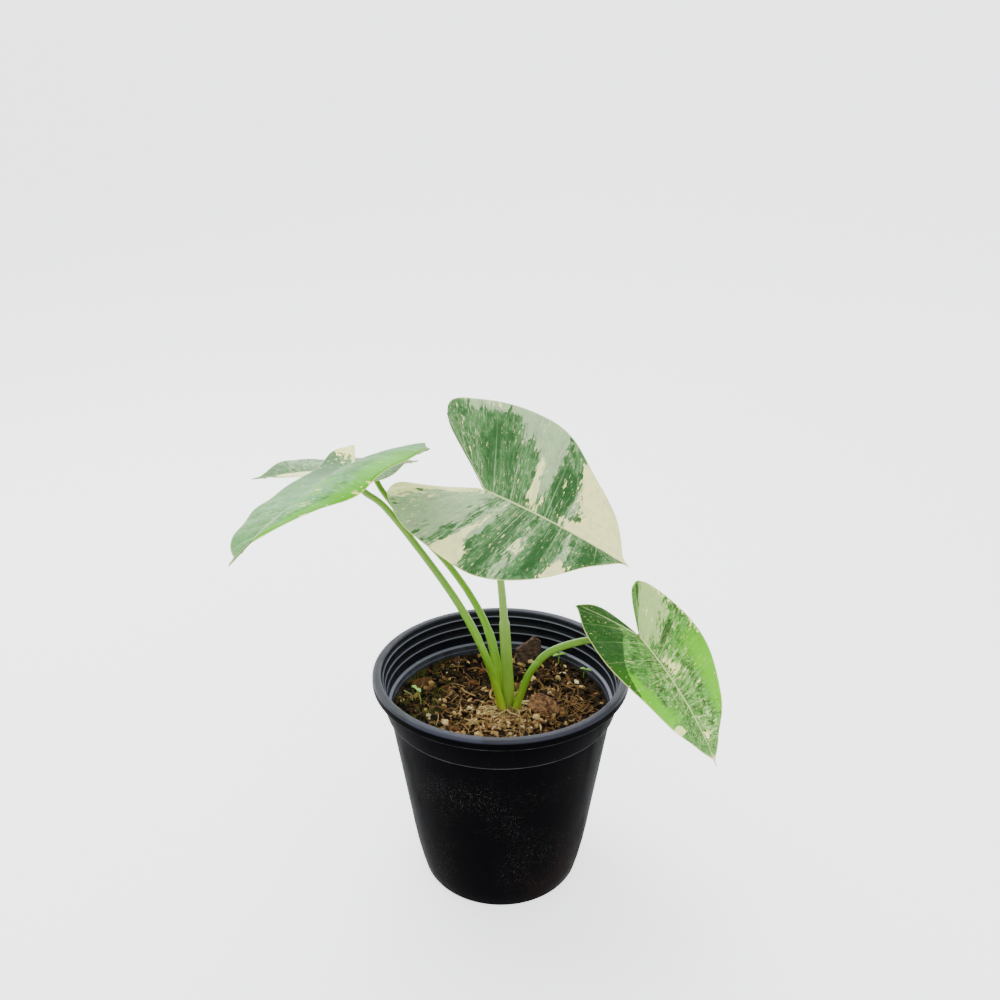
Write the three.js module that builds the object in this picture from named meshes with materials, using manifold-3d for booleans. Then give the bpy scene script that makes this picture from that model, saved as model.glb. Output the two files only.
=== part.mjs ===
// A young variegated giant taro in a black nursery pot: the pot, its potting mix with loose bark
// and weed seedlings, and the plant itself with a crown, four leaf stalks and four leaf blades.
// Millimetres, +Z up. The origin is on the pot's axis at the underside of its base, and the
// side that is seen from the front looks along -Y.
import * as THREE from 'three';
import { mergeVertices } from 'three/addons/utils/BufferGeometryUtils.js';
import Module from 'manifold-3d';

const wasm = await Module();
wasm.setup();

// Clearance between neighbouring pieces.
const GAP = 0.3;

// Pot: a thin injection moulded shell with a folded lip, a ringed collar and a drained foot.
const RIM_RADIUS = 76;
const POT_HEIGHT = 136.7;
const WALL = 1.4;
const LIP_HEIGHT = 6;
const LIP_WIDTH = 5.4;
const COLLAR_BOTTOM = 113.6;
const COLLAR_RADIUS = 68.6;
const FOOT_RADIUS = 48.2;
const FOOT_CHAMFER = 1.6;
const FLOOR_RAISE = 2.2;
const HUB_RADIUS = 18;
const FOOT_RING_RADIUS = 40;
const RING_COUNT = 3;
const RING_SPACING = 5.6;
const RING_DEPTH = 0.7;
const DRAIN_HOLES = 8;
const DRAIN_HOLE_RADIUS = 4;
const DRAIN_CIRCLE_RADIUS = 30;
const POT_SEGMENTS = 40;

// Potting mix: a plug that fills the pot to about 28 mm below the rim.
const MIX_LEVEL = 108.6;
const MIX_ROUGHNESS = 1.3;
const MIX_EDGE_RISE = 2.2;
const CHIP_COUNT = 50;
const CHIP_SEED = 7;
const HEAP_HEIGHT = 3;
const HEAP_PLACE = [1, -16];
const HEAP_SPREAD = [15, 11];

// Crown: the short stem base under the leaf stalks.
const CROWN_X = 3.4;
const CROWN_Y = -2.8;
const CROWN_RADIUS = 8;
const CROWN_SHELF = 104;
const CROWN_BOTTOM = 84;
const SHEATH_REMAINS_TOP = 111.5;
const ROOT_COUNT = 5;
const ROOT_LENGTH = 26;
const ROOT_RADIUS = 1.3;

// Leaf stalks.
const STALK_SIDES = 12;
const STALK_STEPS = 16;
const STALK_TIP_RADIUS = 1.8;

// Leaf blades.
const BLADE_THICKNESS = 0.9;
const TIP_TAIL = 0.055;
const MIDRIB_DEPTH = 1.3;
const SIDE_VEIN_DEPTH = 0.45;
const FORWARD_ROWS = 16;
const LOBE_ROWS = 6;
const COLUMNS = [0, 0.06, 0.28, 0.52, 0.77, 1];
const SINUS_COLUMNS = [0, 0.5, 1];
const MARGIN_SPANS = 9;
const LOBE_END_SPAN = 7;

const DEGREE = Math.PI / 180;

// Geometry helpers: welding, closing and cutting.

function weld(geometry) {
  const plain = geometry.clone();
  plain.deleteAttribute('normal');
  plain.deleteAttribute('uv');
  const merged = mergeVertices(plain, 1e-4);
  const corners = merged.index.array;
  const kept = [];
  for (let i = 0; i < corners.length; i += 3) {
    const [a, b, c] = [corners[i], corners[i + 1], corners[i + 2]];
    if (a !== b && b !== c && c !== a) kept.push(a, b, c);
  }
  merged.setIndex(kept);
  return merged;
}

function signedVolume(geometry) {
  const position = geometry.attributes.position;
  const corners = geometry.index.array;
  const [a, b, c] = [new THREE.Vector3(), new THREE.Vector3(), new THREE.Vector3()];
  let volume = 0;
  for (let i = 0; i < corners.length; i += 3) {
    a.fromBufferAttribute(position, corners[i]);
    b.fromBufferAttribute(position, corners[i + 1]);
    c.fromBufferAttribute(position, corners[i + 2]);
    volume += a.dot(b.cross(c)) / 6;
  }
  return volume;
}

function facingOut(geometry) {
  if (signedVolume(geometry) > 0) return geometry;
  const corners = Array.from(geometry.index.array);
  for (let i = 0; i < corners.length; i += 3) {
    [corners[i + 1], corners[i + 2]] = [corners[i + 2], corners[i + 1]];
  }
  geometry.setIndex(corners);
  return geometry;
}

function toSolid(geometry) {
  const welded = facingOut(weld(geometry));
  return new wasm.Manifold(new wasm.Mesh({
    numProp: 3,
    vertProperties: new Float32Array(welded.attributes.position.array),
    triVerts: new Uint32Array(welded.index.array),
  }));
}

function toGeometry(solid) {
  const mesh = solid.getMesh();
  const geometry = new THREE.BufferGeometry();
  geometry.setAttribute('position', new THREE.BufferAttribute(mesh.vertProperties, 3));
  geometry.setIndex(new THREE.BufferAttribute(mesh.triVerts, 1));
  geometry.computeVertexNormals();
  return geometry;
}

function joined(solids) {
  return solids.reduce((sum, solid) => sum.add(solid));
}

function cutBy(solid, cutters) {
  return cutters.reduce((rest, cutter) => rest.subtract(cutter), solid);
}

// The largest connected body, where a cut leaves thin scraps behind.
function mainBody(solid) {
  const bodies = solid.decompose();
  bodies.sort((one, other) => other.volume() - one.volume());
  return bodies[0];
}

function lathe(profile, segments) {
  const points = profile.map(([radius, height]) => new THREE.Vector2(radius, height));
  const geometry = new THREE.LatheGeometry(points, segments);
  geometry.rotateX(Math.PI / 2);
  return geometry;
}

function seededRandom(seed) {
  let state = seed;
  return () => {
    state = (state * 1664525 + 1013904223) % 4294967296;
    return state / 4294967296;
  };
}

function smoothStep(from, to, value) {
  const x = Math.min(1, Math.max(0, (value - from) / (to - from)));
  return x * x * (3 - 2 * x);
}

const plant = new THREE.Group();

function addMesh(name, geometry, color, roughness) {
  const material = new THREE.MeshStandardMaterial({ color, roughness, metalness: 0 });
  const mesh = new THREE.Mesh(geometry, material);
  mesh.name = name;
  plant.add(mesh);
  return mesh;
}

// Pot.

// Outside of the wall from the foot to the collar, as radius and height.
const WALL_OUTSIDE = [
  [FOOT_RADIUS, FOOT_CHAMFER],
  [50.4, 10],
  [52.9, 22],
  [54.9, 34],
  [56.5, 45.2],
  [66.8, COLLAR_BOTTOM],
];

function wallRadiusAt(height) {
  const above = WALL_OUTSIDE.findIndex((point) => point[1] >= height);
  const [upperRadius, upperHeight] = WALL_OUTSIDE[above];
  const [lowerRadius, lowerHeight] = WALL_OUTSIDE[above - 1];
  const share = (height - lowerHeight) / (upperHeight - lowerHeight);
  return THREE.MathUtils.lerp(lowerRadius, upperRadius, share);
}

function potProfile() {
  const lipInner = RIM_RADIUS - LIP_WIDTH;
  const lipBottom = POT_HEIGHT - LIP_HEIGHT;
  const collarTopRadius = lipInner + WALL;
  const collarInside = COLLAR_RADIUS - WALL;
  const floorTop = FLOOR_RAISE + WALL;
  const underside = [
    [0, 0],
    [HUB_RADIUS, 0],
    [HUB_RADIUS + 2, FLOOR_RAISE],
    [FOOT_RING_RADIUS - 2, FLOOR_RAISE],
    [FOOT_RING_RADIUS, 0],
    [FOOT_RADIUS - FOOT_CHAMFER, 0],
  ];
  const collar = [
    [COLLAR_RADIUS, COLLAR_BOTTOM + 0.4],
    [COLLAR_RADIUS + 0.5, COLLAR_BOTTOM + 2],
    [collarTopRadius, lipBottom],
  ];
  const lip = [
    [collarTopRadius + 0.3, POT_HEIGHT - WALL],
    [RIM_RADIUS - WALL - 0.4, POT_HEIGHT - WALL],
    [RIM_RADIUS - WALL, lipBottom],
    [RIM_RADIUS - 0.3, lipBottom],
    [RIM_RADIUS, lipBottom + 1],
    [RIM_RADIUS, POT_HEIGHT - 1.6],
    [RIM_RADIUS - 0.5, POT_HEIGHT - 0.5],
    [RIM_RADIUS - 1.6, POT_HEIGHT],
    [lipInner + 1.5, POT_HEIGHT],
    [lipInner + 0.3, POT_HEIGHT - 0.6],
    [lipInner, POT_HEIGHT - 2],
  ];
  const rings = [];
  for (let i = 0; i < RING_COUNT; i += 1) {
    const height = lipBottom + 1.8 - i * RING_SPACING;
    const share = (height - COLLAR_BOTTOM) / (POT_HEIGHT - 2 - COLLAR_BOTTOM);
    const radius = THREE.MathUtils.lerp(collarInside, lipInner, share);
    rings.push([radius, height + 1.1]);
    rings.push([radius - RING_DEPTH, height + 0.3]);
    rings.push([radius - RING_DEPTH, height - 0.4]);
  }
  const inside = [
    [collarInside, COLLAR_BOTTOM + 0.4 + WALL],
    [wallRadiusAt(COLLAR_BOTTOM) - WALL + 0.2, COLLAR_BOTTOM + WALL],
  ];
  for (const [radius, height] of WALL_OUTSIDE.slice(1).reverse()) {
    inside.push([radius - WALL, height]);
  }
  inside.push(
    [FOOT_RADIUS - WALL, WALL + FOOT_CHAMFER],
    [FOOT_RADIUS - WALL - FOOT_CHAMFER, WALL],
    [FOOT_RING_RADIUS + 0.8, WALL],
    [FOOT_RING_RADIUS - 1.2, floorTop],
    [HUB_RADIUS + 1.2, floorTop],
    [HUB_RADIUS - 0.8, WALL],
    [0, WALL],
  );
  return [...underside, ...WALL_OUTSIDE, ...collar, ...lip, ...rings, ...inside];
}

function buildPot() {
  const shell = toSolid(lathe(potProfile(), POT_SEGMENTS));
  const drains = [];
  for (let i = 0; i < DRAIN_HOLES; i += 1) {
    const angle = (i + 0.5) * 2 * Math.PI / DRAIN_HOLES;
    const hole = new THREE.CylinderGeometry(DRAIN_HOLE_RADIUS, DRAIN_HOLE_RADIUS, 12, 14);
    hole.rotateX(Math.PI / 2);
    hole.translate(DRAIN_CIRCLE_RADIUS * Math.cos(angle), DRAIN_CIRCLE_RADIUS * Math.sin(angle), 2);
    drains.push(toSolid(hole));
  }
  return toGeometry(cutBy(shell, drains));
}

// Crown with the ragged remains of old leaf bases round its shelf and a few thick roots.

function buildCrown(grow) {
  const profile = [
    [0, CROWN_BOTTOM - grow],
    [4.5 + grow, CROWN_BOTTOM + 1 - grow],
    [CROWN_RADIUS - 1 + grow, CROWN_BOTTOM + 6],
    [CROWN_RADIUS + grow, CROWN_SHELF - 6],
    [CROWN_RADIUS - 0.4 + grow, CROWN_SHELF + 3],
    [CROWN_RADIUS - 0.8 + grow, SHEATH_REMAINS_TOP],
    [CROWN_RADIUS - 1.7, SHEATH_REMAINS_TOP + 0.4],
    [CROWN_RADIUS - 1.6, CROWN_SHELF],
    [0, CROWN_SHELF],
  ];
  const body = lathe(profile, 16);
  const position = body.attributes.position;
  for (let i = 0; i < position.count; i += 1) {
    const height = position.getZ(i);
    if (height > CROWN_SHELF + 5) {
      const angle = Math.atan2(position.getY(i), position.getX(i));
      position.setZ(i, height + 1.1 * Math.sin(5 * angle + 1) - 1.2 * Math.cos(2 * angle));
    }
  }
  body.translate(CROWN_X, CROWN_Y, 0);
  const parts = [toSolid(body)];
  for (let i = 0; i < ROOT_COUNT; i += 1) {
    const angle = (i + 0.3) * 2 * Math.PI / ROOT_COUNT;
    const reach = new THREE.Vector3(Math.cos(angle), Math.sin(angle), 0);
    const start = new THREE.Vector3(CROWN_X, CROWN_Y, CROWN_BOTTOM + 9);
    const bend = start.clone().addScaledVector(reach, ROOT_LENGTH * 0.6);
    const end = start.clone().addScaledVector(reach, ROOT_LENGTH + grow);
    bend.z -= 5;
    end.z -= ROOT_LENGTH * 0.7 + grow;
    const path = new THREE.CatmullRomCurve3([start, bend, end]);
    const section = new THREE.Shape();
    section.absarc(0, 0, ROOT_RADIUS + grow, 0, 2 * Math.PI);
    const root = new THREE.ExtrudeGeometry(section, { extrudePath: path, steps: 4, curveSegments: 5 });
    parts.push(toSolid(root));
  }
  return joined(parts);
}

// Leaf stalks. Each follows its own curve from the crown's shelf to the blade. Its lower part is
// a grooved sheath that is wider than the round stalk above it and ends in a small step.

const STALKS = {
  centre: {
    path: [[4.9, -1.4, 104.4], [4.3, -1.6, 124], [2.9, -0.6, 152], [0.6, 1.2, 186], [-3.4, 3.2, 218],
      [-8.6, 5.1, 246.6]],
    footRadius: 3.3,
    sheathEnd: 0.45,
    inward: [-0.4, 1, 0.3],
  },
  left_front: {
    path: [[2.5, -5.4, 104.4], [-2, -4.6, 124], [-9.5, -1.8, 147], [-23, 1, 175], [-42, 3, 205],
      [-64, 2, 237], [-76, -1, 249], [-82.4, -3.4, 261.3]],
    footRadius: 2.9,
    sheathEnd: 0.3,
    inward: [1, 0.3, 1],
  },
  left_back: {
    path: [[0.4, -1.6, 104.4], [-1.6, 6, 127], [-7, 18, 149], [-18, 31, 167], [-35, 46, 185],
      [-57, 62, 202], [-75, 78, 218], [-83.6, 88, 230.2]],
    footRadius: 2.7,
    sheathEnd: 0.3,
    inward: [0.8, -0.6, 1],
  },
  right: {
    path: [[7, -5.6, 104.4], [11.2, -6, 120], [17.5, -6.2, 137], [28, -7, 150], [44, -8, 157.5],
      [61, -9, 160.8], [73, -10.6, 162.2], [79.9, -11.8, 163]],
    footRadius: 3,
    sheathEnd: 0.42,
    inward: [-1, 0.2, 1],
  },
};

function stalkRing(stalk, curve, share, grow) {
  const centre = curve.getPointAt(share);
  const along = curve.getTangentAt(share);
  const inward = new THREE.Vector3(...stalk.inward);
  inward.addScaledVector(along, -inward.dot(along)).normalize();
  const across = new THREE.Vector3().crossVectors(along, inward);
  const taper = THREE.MathUtils.lerp(stalk.footRadius, STALK_TIP_RADIUS, Math.pow(share, 0.6));
  const sheath = 1 - smoothStep(stalk.sheathEnd - 0.03, stalk.sheathEnd, share);
  const ring = [];
  for (let side = 0; side < STALK_SIDES; side += 1) {
    const angle = side * 2 * Math.PI / STALK_SIDES;
    const wing = 0.22 * Math.pow(Math.sin(angle), 2);
    const groove = 0.3 * Math.pow(Math.max(0, Math.cos(angle)), 4);
    const radius = taper * (1 + sheath * (wing - groove)) + grow;
    ring.push(centre.clone()
      .addScaledVector(inward, radius * Math.cos(angle))
      .addScaledVector(across, radius * Math.sin(angle)));
  }
  return ring;
}

function closedSweep(rings) {
  const sides = rings[0].length;
  const positions = rings.flat().flatMap((point) => point.toArray());
  const corners = [];
  for (let ring = 0; ring + 1 < rings.length; ring += 1) {
    for (let side = 0; side < sides; side += 1) {
      const a = ring * sides + side;
      const b = ring * sides + (side + 1) % sides;
      corners.push(a, b, b + sides, a, b + sides, a + sides);
    }
  }
  for (const ring of [0, rings.length - 1]) {
    const middle = positions.length / 3;
    const centre = new THREE.Vector3();
    rings[ring].forEach((point) => centre.addScaledVector(point, 1 / sides));
    positions.push(...centre.toArray());
    for (let side = 0; side < sides; side += 1) {
      const a = ring * sides + side;
      const b = ring * sides + (side + 1) % sides;
      if (ring === 0) corners.push(middle, b, a);
      else corners.push(middle, a, b);
    }
  }
  const geometry = new THREE.BufferGeometry();
  geometry.setAttribute('position', new THREE.Float32BufferAttribute(positions, 3));
  geometry.setIndex(corners);
  return geometry;
}

function stalkSolid(stalk, grow) {
  const points = stalk.path.map((point) => new THREE.Vector3(...point));
  const curve = new THREE.CatmullRomCurve3(points);
  const rings = [];
  for (let step = 0; step <= STALK_STEPS; step += 1) {
    const even = step / STALK_STEPS;
    rings.push(stalkRing(stalk, curve, even, grow));
    if (even < stalk.sheathEnd && even + 1 / STALK_STEPS >= stalk.sheathEnd) {
      rings.push(stalkRing(stalk, curve, stalk.sheathEnd - 0.03, grow));
      rings.push(stalkRing(stalk, curve, stalk.sheathEnd + 0.002, grow));
    }
  }
  return toSolid(closedSweep(rings));
}

// Leaf blades. A blade is described in its own frame, in lengths of its midrib: s runs along the
// midrib from the stalk's junction to the tip, t from the midrib out to the margin. Each half has
// a margin of its own, measured as points from the tip round the lobe to the junction. The
// midrib and the lobes bend down, and each half is folded up along the midrib and curls down
// towards its margin. Folds are given at the lobe's end, at the widest place and at the tip.

const BLADES = {
  centre: {
    length: 87,
    junction: [-8.6, 5.1, 246.6],
    heading: -32,
    pitch: -10,
    roll: 39,
    bend: 0.46,
    ripple: 0.9,
    halves: [
      {
        lobeBend: 0.19,
        folds: [0.51, 0.28, 0.21],
        curl: 0.22,
        margin: [[1, 0], [0.83, 0.22], [0.61, 0.37], [0.35, 0.55], [0.07, 0.61], [-0.24, 0.56],
          [-0.45, 0.5], [-0.47, 0.38], [-0.31, 0.23], [-0.03, 0.01]],
      },
      {
        lobeBend: 0.18,
        folds: [0.7, 0.35, 0.2],
        curl: 0.29,
        margin: [[1, 0], [0.84, 0.14], [0.63, 0.37], [0.37, 0.56], [0.07, 0.59], [-0.22, 0.57],
          [-0.42, 0.46], [-0.48, 0.34], [-0.34, 0.19], [-0.03, 0.01]],
      },
    ],
  },
  left_front: {
    length: 95,
    junction: [-82.4, -3.4, 261.3],
    heading: 238,
    pitch: 0,
    roll: 25,
    bend: 0.34,
    ripple: 0.6,
    halves: [
      {
        lobeBend: 0.39,
        folds: [0.33, 0.47, -0.12],
        curl: 1.04,
        margin: [[1, 0], [0.84, 0.02], [0.63, 0.3], [0.43, 0.51], [0.07, 0.5], [-0.22, 0.43],
          [-0.33, 0.33], [-0.41, 0.25], [-0.31, 0.16], [-0.03, 0.01]],
      },
      {
        lobeBend: -0.82,
        folds: [0.09, 0.01, 0.09],
        curl: -0.07,
        margin: [[1, 0], [0.87, 0.15], [0.62, 0.3], [0.36, 0.43], [0.06, 0.52], [-0.24, 0.49],
          [-0.43, 0.46], [-0.46, 0.32], [-0.29, 0.2], [-0.03, 0.01]],
      },
    ],
  },
  left_back: {
    length: 72,
    junction: [-83.6, 88, 230.2],
    heading: 204,
    pitch: 7,
    roll: 13,
    bend: 0.13,
    ripple: 0.5,
    halves: [
      {
        lobeBend: -0.29,
        folds: [0.69, 0.14, 0.1],
        curl: 0.58,
        margin: [[1, 0], [0.86, 0.13], [0.62, 0.31], [0.37, 0.45], [0.02, 0.57], [-0.23, 0.5],
          [-0.41, 0.4], [-0.47, 0.31], [-0.31, 0.19], [-0.03, 0.01]],
      },
      {
        lobeBend: -0.02,
        folds: [0.14, 0.18, 0.52],
        curl: 0.15,
        margin: [[1, 0], [0.86, 0.13], [0.63, 0.32], [0.38, 0.46], [0.05, 0.52], [-0.25, 0.49],
          [-0.46, 0.4], [-0.56, 0.29], [-0.34, 0.15], [-0.03, 0.01]],
      },
    ],
  },
  right: {
    length: 86,
    junction: [79.9, -11.8, 163],
    heading: -34,
    pitch: -41,
    roll: 21,
    bend: 0.55,
    ripple: 0.6,
    halves: [
      {
        lobeBend: 0.07,
        folds: [0.35, 0.44, 0.27],
        curl: 0.25,
        margin: [[1, 0], [0.87, 0.1], [0.65, 0.23], [0.35, 0.33], [0.06, 0.35], [-0.22, 0.29],
          [-0.29, 0.25], [-0.3, 0.21], [-0.25, 0.14], [-0.03, 0.01]],
      },
      {
        lobeBend: 0.14,
        folds: [0.17, 0.4, 0.21],
        curl: 0.27,
        margin: [[1, 0], [0.84, 0.1], [0.64, 0.21], [0.41, 0.32], [0.03, 0.39], [-0.23, 0.33],
          [-0.4, 0.25], [-0.42, 0.22], [-0.3, 0.08], [-0.03, 0.01]],
      },
    ],
  },
};

function foldAt([lobeEnd, widest, tip], s) {
  const fromLobe = smoothStep(-0.5, 0.3, s);
  const toTip = smoothStep(0.3, 1, s);
  return lobeEnd + (widest - lobeEnd) * fromLobe + (tip - widest) * toTip;
}

function bladePoint(blade, halfIndex, s, t) {
  const half = blade.halves[halfIndex];
  const side = halfIndex === 0 ? 1 : -1;
  const bend = s >= 0 ? blade.bend : half.lobeBend;
  const turn = bend * s;
  const spineX = Math.sin(turn) / bend;
  const spineZ = -(1 - Math.cos(turn)) / bend;
  const fold = foldAt(half.folds, s);
  const curlRate = half.curl / 0.5;
  const outward = (Math.sin(fold) - Math.sin(fold - curlRate * t)) / curlRate;
  const upward = (Math.cos(fold - curlRate * t) - Math.cos(fold)) / curlRate;
  const point = new THREE.Vector3(
    spineX + upward * Math.sin(turn),
    side * outward,
    spineZ + upward * Math.cos(turn),
  );
  return point.multiplyScalar(blade.length);
}

// The grid of one half follows its veins: rows run from the midrib, and behind the junction from
// the lobe's own vein, out to the margin. Every second row carries a side vein.
function halfGrid(blade, halfIndex) {
  const points = blade.halves[halfIndex].margin.map(([s, t]) => new THREE.Vector2(s, t));
  const margin = new THREE.SplineCurve(points);
  const lobeEnd = margin.getPoint(LOBE_END_SPAN / MARGIN_SPANS);
  const rows = [];
  const total = FORWARD_ROWS + LOBE_ROWS;
  const vertex = (from, to, share, row, ribbed, axisShare) => {
    const tail = row < 1 ? TIP_TAIL : 0;
    const s = THREE.MathUtils.lerp(from.x, to.x, share) + tail;
    const t = Math.max(0, THREE.MathUtils.lerp(from.y, to.y, share));
    const wave = Math.sin(row * 1.35 + halfIndex * 2) * Math.pow(share, 3) * blade.ripple;
    const point = bladePoint(blade, halfIndex, s, t);
    const onAxis = share === 0 ? MIDRIB_DEPTH * axisShare : 0;
    const onVein = ribbed && share > 0 ? SIDE_VEIN_DEPTH * (1 - 0.8 * share) : 0;
    return { point, wave, rib: onAxis + onVein, groove: onVein * 0.6 };
  };
  for (let row = 0; row <= total; row += 1) {
    const back = row > FORWARD_ROWS ? (row - FORWARD_ROWS) / LOBE_ROWS : 0;
    const axis = row <= FORWARD_ROWS
      ? new THREE.Vector2(1 - row / FORWARD_ROWS, 0)
      : lobeEnd.clone().multiplyScalar(back);
    const edge = margin.getPoint(LOBE_END_SPAN / MARGIN_SPANS * row / total);
    const axisShare = 0.15 + 0.85 * (row <= FORWARD_ROWS ? row / FORWARD_ROWS : 1 - back);
    rows.push(COLUMNS.map((share) => vertex(axis, edge, share, row, row % 2 === 1, axisShare)));
  }
  const sinusRows = [];
  for (let row = 0; row <= LOBE_ROWS; row += 1) {
    const share = 1 - row / LOBE_ROWS;
    const axis = lobeEnd.clone().multiplyScalar(share);
    const span = MARGIN_SPANS - (MARGIN_SPANS - LOBE_END_SPAN) * share;
    const edge = margin.getPoint(span / MARGIN_SPANS);
    const axisShare = 0.15 + 0.85 * (1 - share);
    sinusRows.push(SINUS_COLUMNS.map((part) => vertex(axis, edge, part, total + row, false, axisShare)));
  }
  return [rows, sinusRows];
}

// The blade's mid surface: welded vertices with their vein relief, and its triangles.
function bladeSurface(blade) {
  const vertices = [];
  const triangles = [];
  const known = new Map();
  const indexOf = (vertex) => {
    const key = vertex.point.toArray().map((value) => Math.round(value * 50)).join();
    if (!known.has(key)) {
      known.set(key, vertices.length);
      vertices.push(vertex);
    }
    return known.get(key);
  };
  const addTriangle = (a, b, c, flipped) => {
    if (a === b || b === c || c === a) return;
    triangles.push(flipped ? [a, c, b] : [a, b, c]);
  };
  for (const halfIndex of [0, 1]) {
    for (const grid of halfGrid(blade, halfIndex)) {
      const indices = grid.map((row) => row.map(indexOf));
      const flipped = halfIndex === 1;
      for (let row = 0; row + 1 < grid.length; row += 1) {
        for (let column = 0; column + 1 < grid[row].length; column += 1) {
          const [a, b] = [indices[row][column], indices[row][column + 1]];
          const [d, c] = [indices[row + 1][column], indices[row + 1][column + 1]];
          addTriangle(a, b, c, flipped);
          addTriangle(a, c, d, flipped);
        }
      }
    }
  }
  return { vertices, triangles };
}

function surfaceNormals({ vertices, triangles }) {
  const normals = vertices.map(() => new THREE.Vector3());
  for (const corners of triangles) {
    const [a, b, c] = corners.map((index) => vertices[index].point);
    const normal = b.clone().sub(a).cross(c.clone().sub(a));
    corners.forEach((index) => normals[index].add(normal));
  }
  normals.forEach((normal) => normal.normalize());
  const upward = normals.reduce((sum, normal) => sum + normal.z, 0);
  if (upward < 0) {
    normals.forEach((normal) => normal.negate());
  }
  return normals;
}

// Gives the mid surface its thickness, with the triangles alike on both faces, and closes it
// along every edge that only one triangle uses.
function bladeGeometry(blade, grow) {
  const surface = bladeSurface(blade);
  const normals = surfaceNormals(surface);
  const count = surface.vertices.length;
  const upper = [];
  const lower = [];
  surface.vertices.forEach(({ point, wave, rib, groove }, index) => {
    const top = wave + BLADE_THICKNESS / 2 - groove + grow;
    const bottom = wave - BLADE_THICKNESS / 2 - rib - grow;
    upper.push(...point.clone().addScaledVector(normals[index], top).toArray());
    lower.push(...point.clone().addScaledVector(normals[index], bottom).toArray());
  });
  const corners = [];
  const openEdges = new Map();
  for (const [a, b, c] of surface.triangles) {
    corners.push(a, b, c, a + count, c + count, b + count);
    for (const [from, to] of [[a, b], [b, c], [c, a]]) {
      if (!openEdges.delete(`${to}_${from}`)) openEdges.set(`${from}_${to}`, [from, to]);
    }
  }
  for (const [from, to] of openEdges.values()) {
    corners.push(to, from, from + count, to, from + count, to + count);
  }
  const geometry = new THREE.BufferGeometry();
  geometry.setAttribute('position', new THREE.Float32BufferAttribute([...upper, ...lower], 3));
  geometry.setIndex(corners);
  return geometry;
}

// The room that a blade and its open notch take up, which its stalk ends short of.
function bladeRoom(blade) {
  const below = BLADE_THICKNESS / 2 + MIDRIB_DEPTH + GAP;
  const above = 3 * STALK_TIP_RADIUS;
  const height = above + below;
  const notch = new THREE.CylinderGeometry(above, above, height, 16);
  notch.rotateX(Math.PI / 2);
  notch.translate(0, 0, height / 2 - below);
  const placement = bladePlacement(blade);
  return [bladeGeometry(blade, GAP), notch].map((shape) => toSolid(shape.applyMatrix4(placement)));
}

function bladePlacement(blade) {
  const [heading, pitch, roll] = [blade.heading, blade.pitch, blade.roll].map((a) => a * DEGREE);
  const along = new THREE.Vector3(
    Math.cos(pitch) * Math.cos(heading),
    Math.cos(pitch) * Math.sin(heading),
    Math.sin(pitch),
  );
  const level = new THREE.Vector3(-Math.sin(heading), Math.cos(heading), 0);
  const raised = new THREE.Vector3().crossVectors(along, level);
  const left = level.multiplyScalar(Math.cos(roll)).addScaledVector(raised, Math.sin(roll));
  const up = new THREE.Vector3().crossVectors(along, left);
  return new THREE.Matrix4().makeBasis(along, left, up).setPosition(...blade.junction);
}

// Potting mix: a plug with a bumpy top and small bark bits fused into it.

function mixTop(x, y) {
  const radius = Math.hypot(x, y);
  const lumps = Math.sin(x * 0.31 + 1.2) * Math.cos(y * 0.27 - 0.4)
    + 0.6 * Math.sin(x * 0.62 - y * 0.51) + 0.4 * Math.cos(x * 0.83 + y * 0.94 + 2);
  const edge = MIX_EDGE_RISE * smoothStep(35, 66, radius) * Math.abs(x) / (radius + 1);
  const heapX = (x - HEAP_PLACE[0]) / HEAP_SPREAD[0];
  const heapY = (y - HEAP_PLACE[1]) / HEAP_SPREAD[1];
  const heap = HEAP_HEIGHT * Math.exp(-heapX * heapX - heapY * heapY);
  return MIX_LEVEL + MIX_ROUGHNESS * lumps * (1 - 0.6 * smoothStep(50, 64, radius)) + edge + heap;
}

function mixPlug() {
  const bottom = FLOOR_RAISE + WALL + GAP;
  const clear = WALL + GAP + 0.15;
  const wallHeights = [...WALL_OUTSIDE.slice(1, -1).map((point) => point[1]), MIX_LEVEL - 6];
  const topRadius = wallRadiusAt(MIX_LEVEL) - clear;
  const tops = [1, 0.93, 0.84, 0.75, 0.66, 0.57, 0.48, 0.39, 0.3, 0.2, 0.1, 0];
  const profile = [
    [0, bottom],
    [wallRadiusAt(bottom) - clear - 0.3, bottom],
    ...wallHeights.map((height) => [wallRadiusAt(height) - clear, height]),
    ...tops.map((share) => [share * topRadius, MIX_LEVEL]),
  ];
  const plug = lathe(profile, POT_SEGMENTS);
  const position = plug.attributes.position;
  for (let i = 0; i < position.count; i += 1) {
    if (position.getZ(i) > MIX_LEVEL - 0.01) {
      position.setZ(i, mixTop(position.getX(i), position.getY(i)));
    }
  }
  return toSolid(plug);
}

function mixBits() {
  const random = seededRandom(CHIP_SEED);
  const bits = [];
  while (bits.length < CHIP_COUNT) {
    const angle = random() * 2 * Math.PI;
    const radius = 58 * Math.sqrt(random());
    const size = 3 + 6 * random() * random();
    const [x, y] = [radius * Math.cos(angle), radius * Math.sin(angle)];
    const bit = new THREE.BoxGeometry(size, size * (0.35 + 0.4 * random()), 1.6 + size * 0.25);
    bit.rotateX((random() - 0.5) * 0.9);
    bit.rotateY((random() - 0.5) * 0.9);
    bit.rotateZ(random() * Math.PI);
    bit.translate(x, y, mixTop(x, y) + 0.1);
    if (Math.hypot(x - CROWN_X, y - CROWN_Y) > CROWN_RADIUS + 5) bits.push(toSolid(bit));
  }
  return bits;
}

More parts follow.
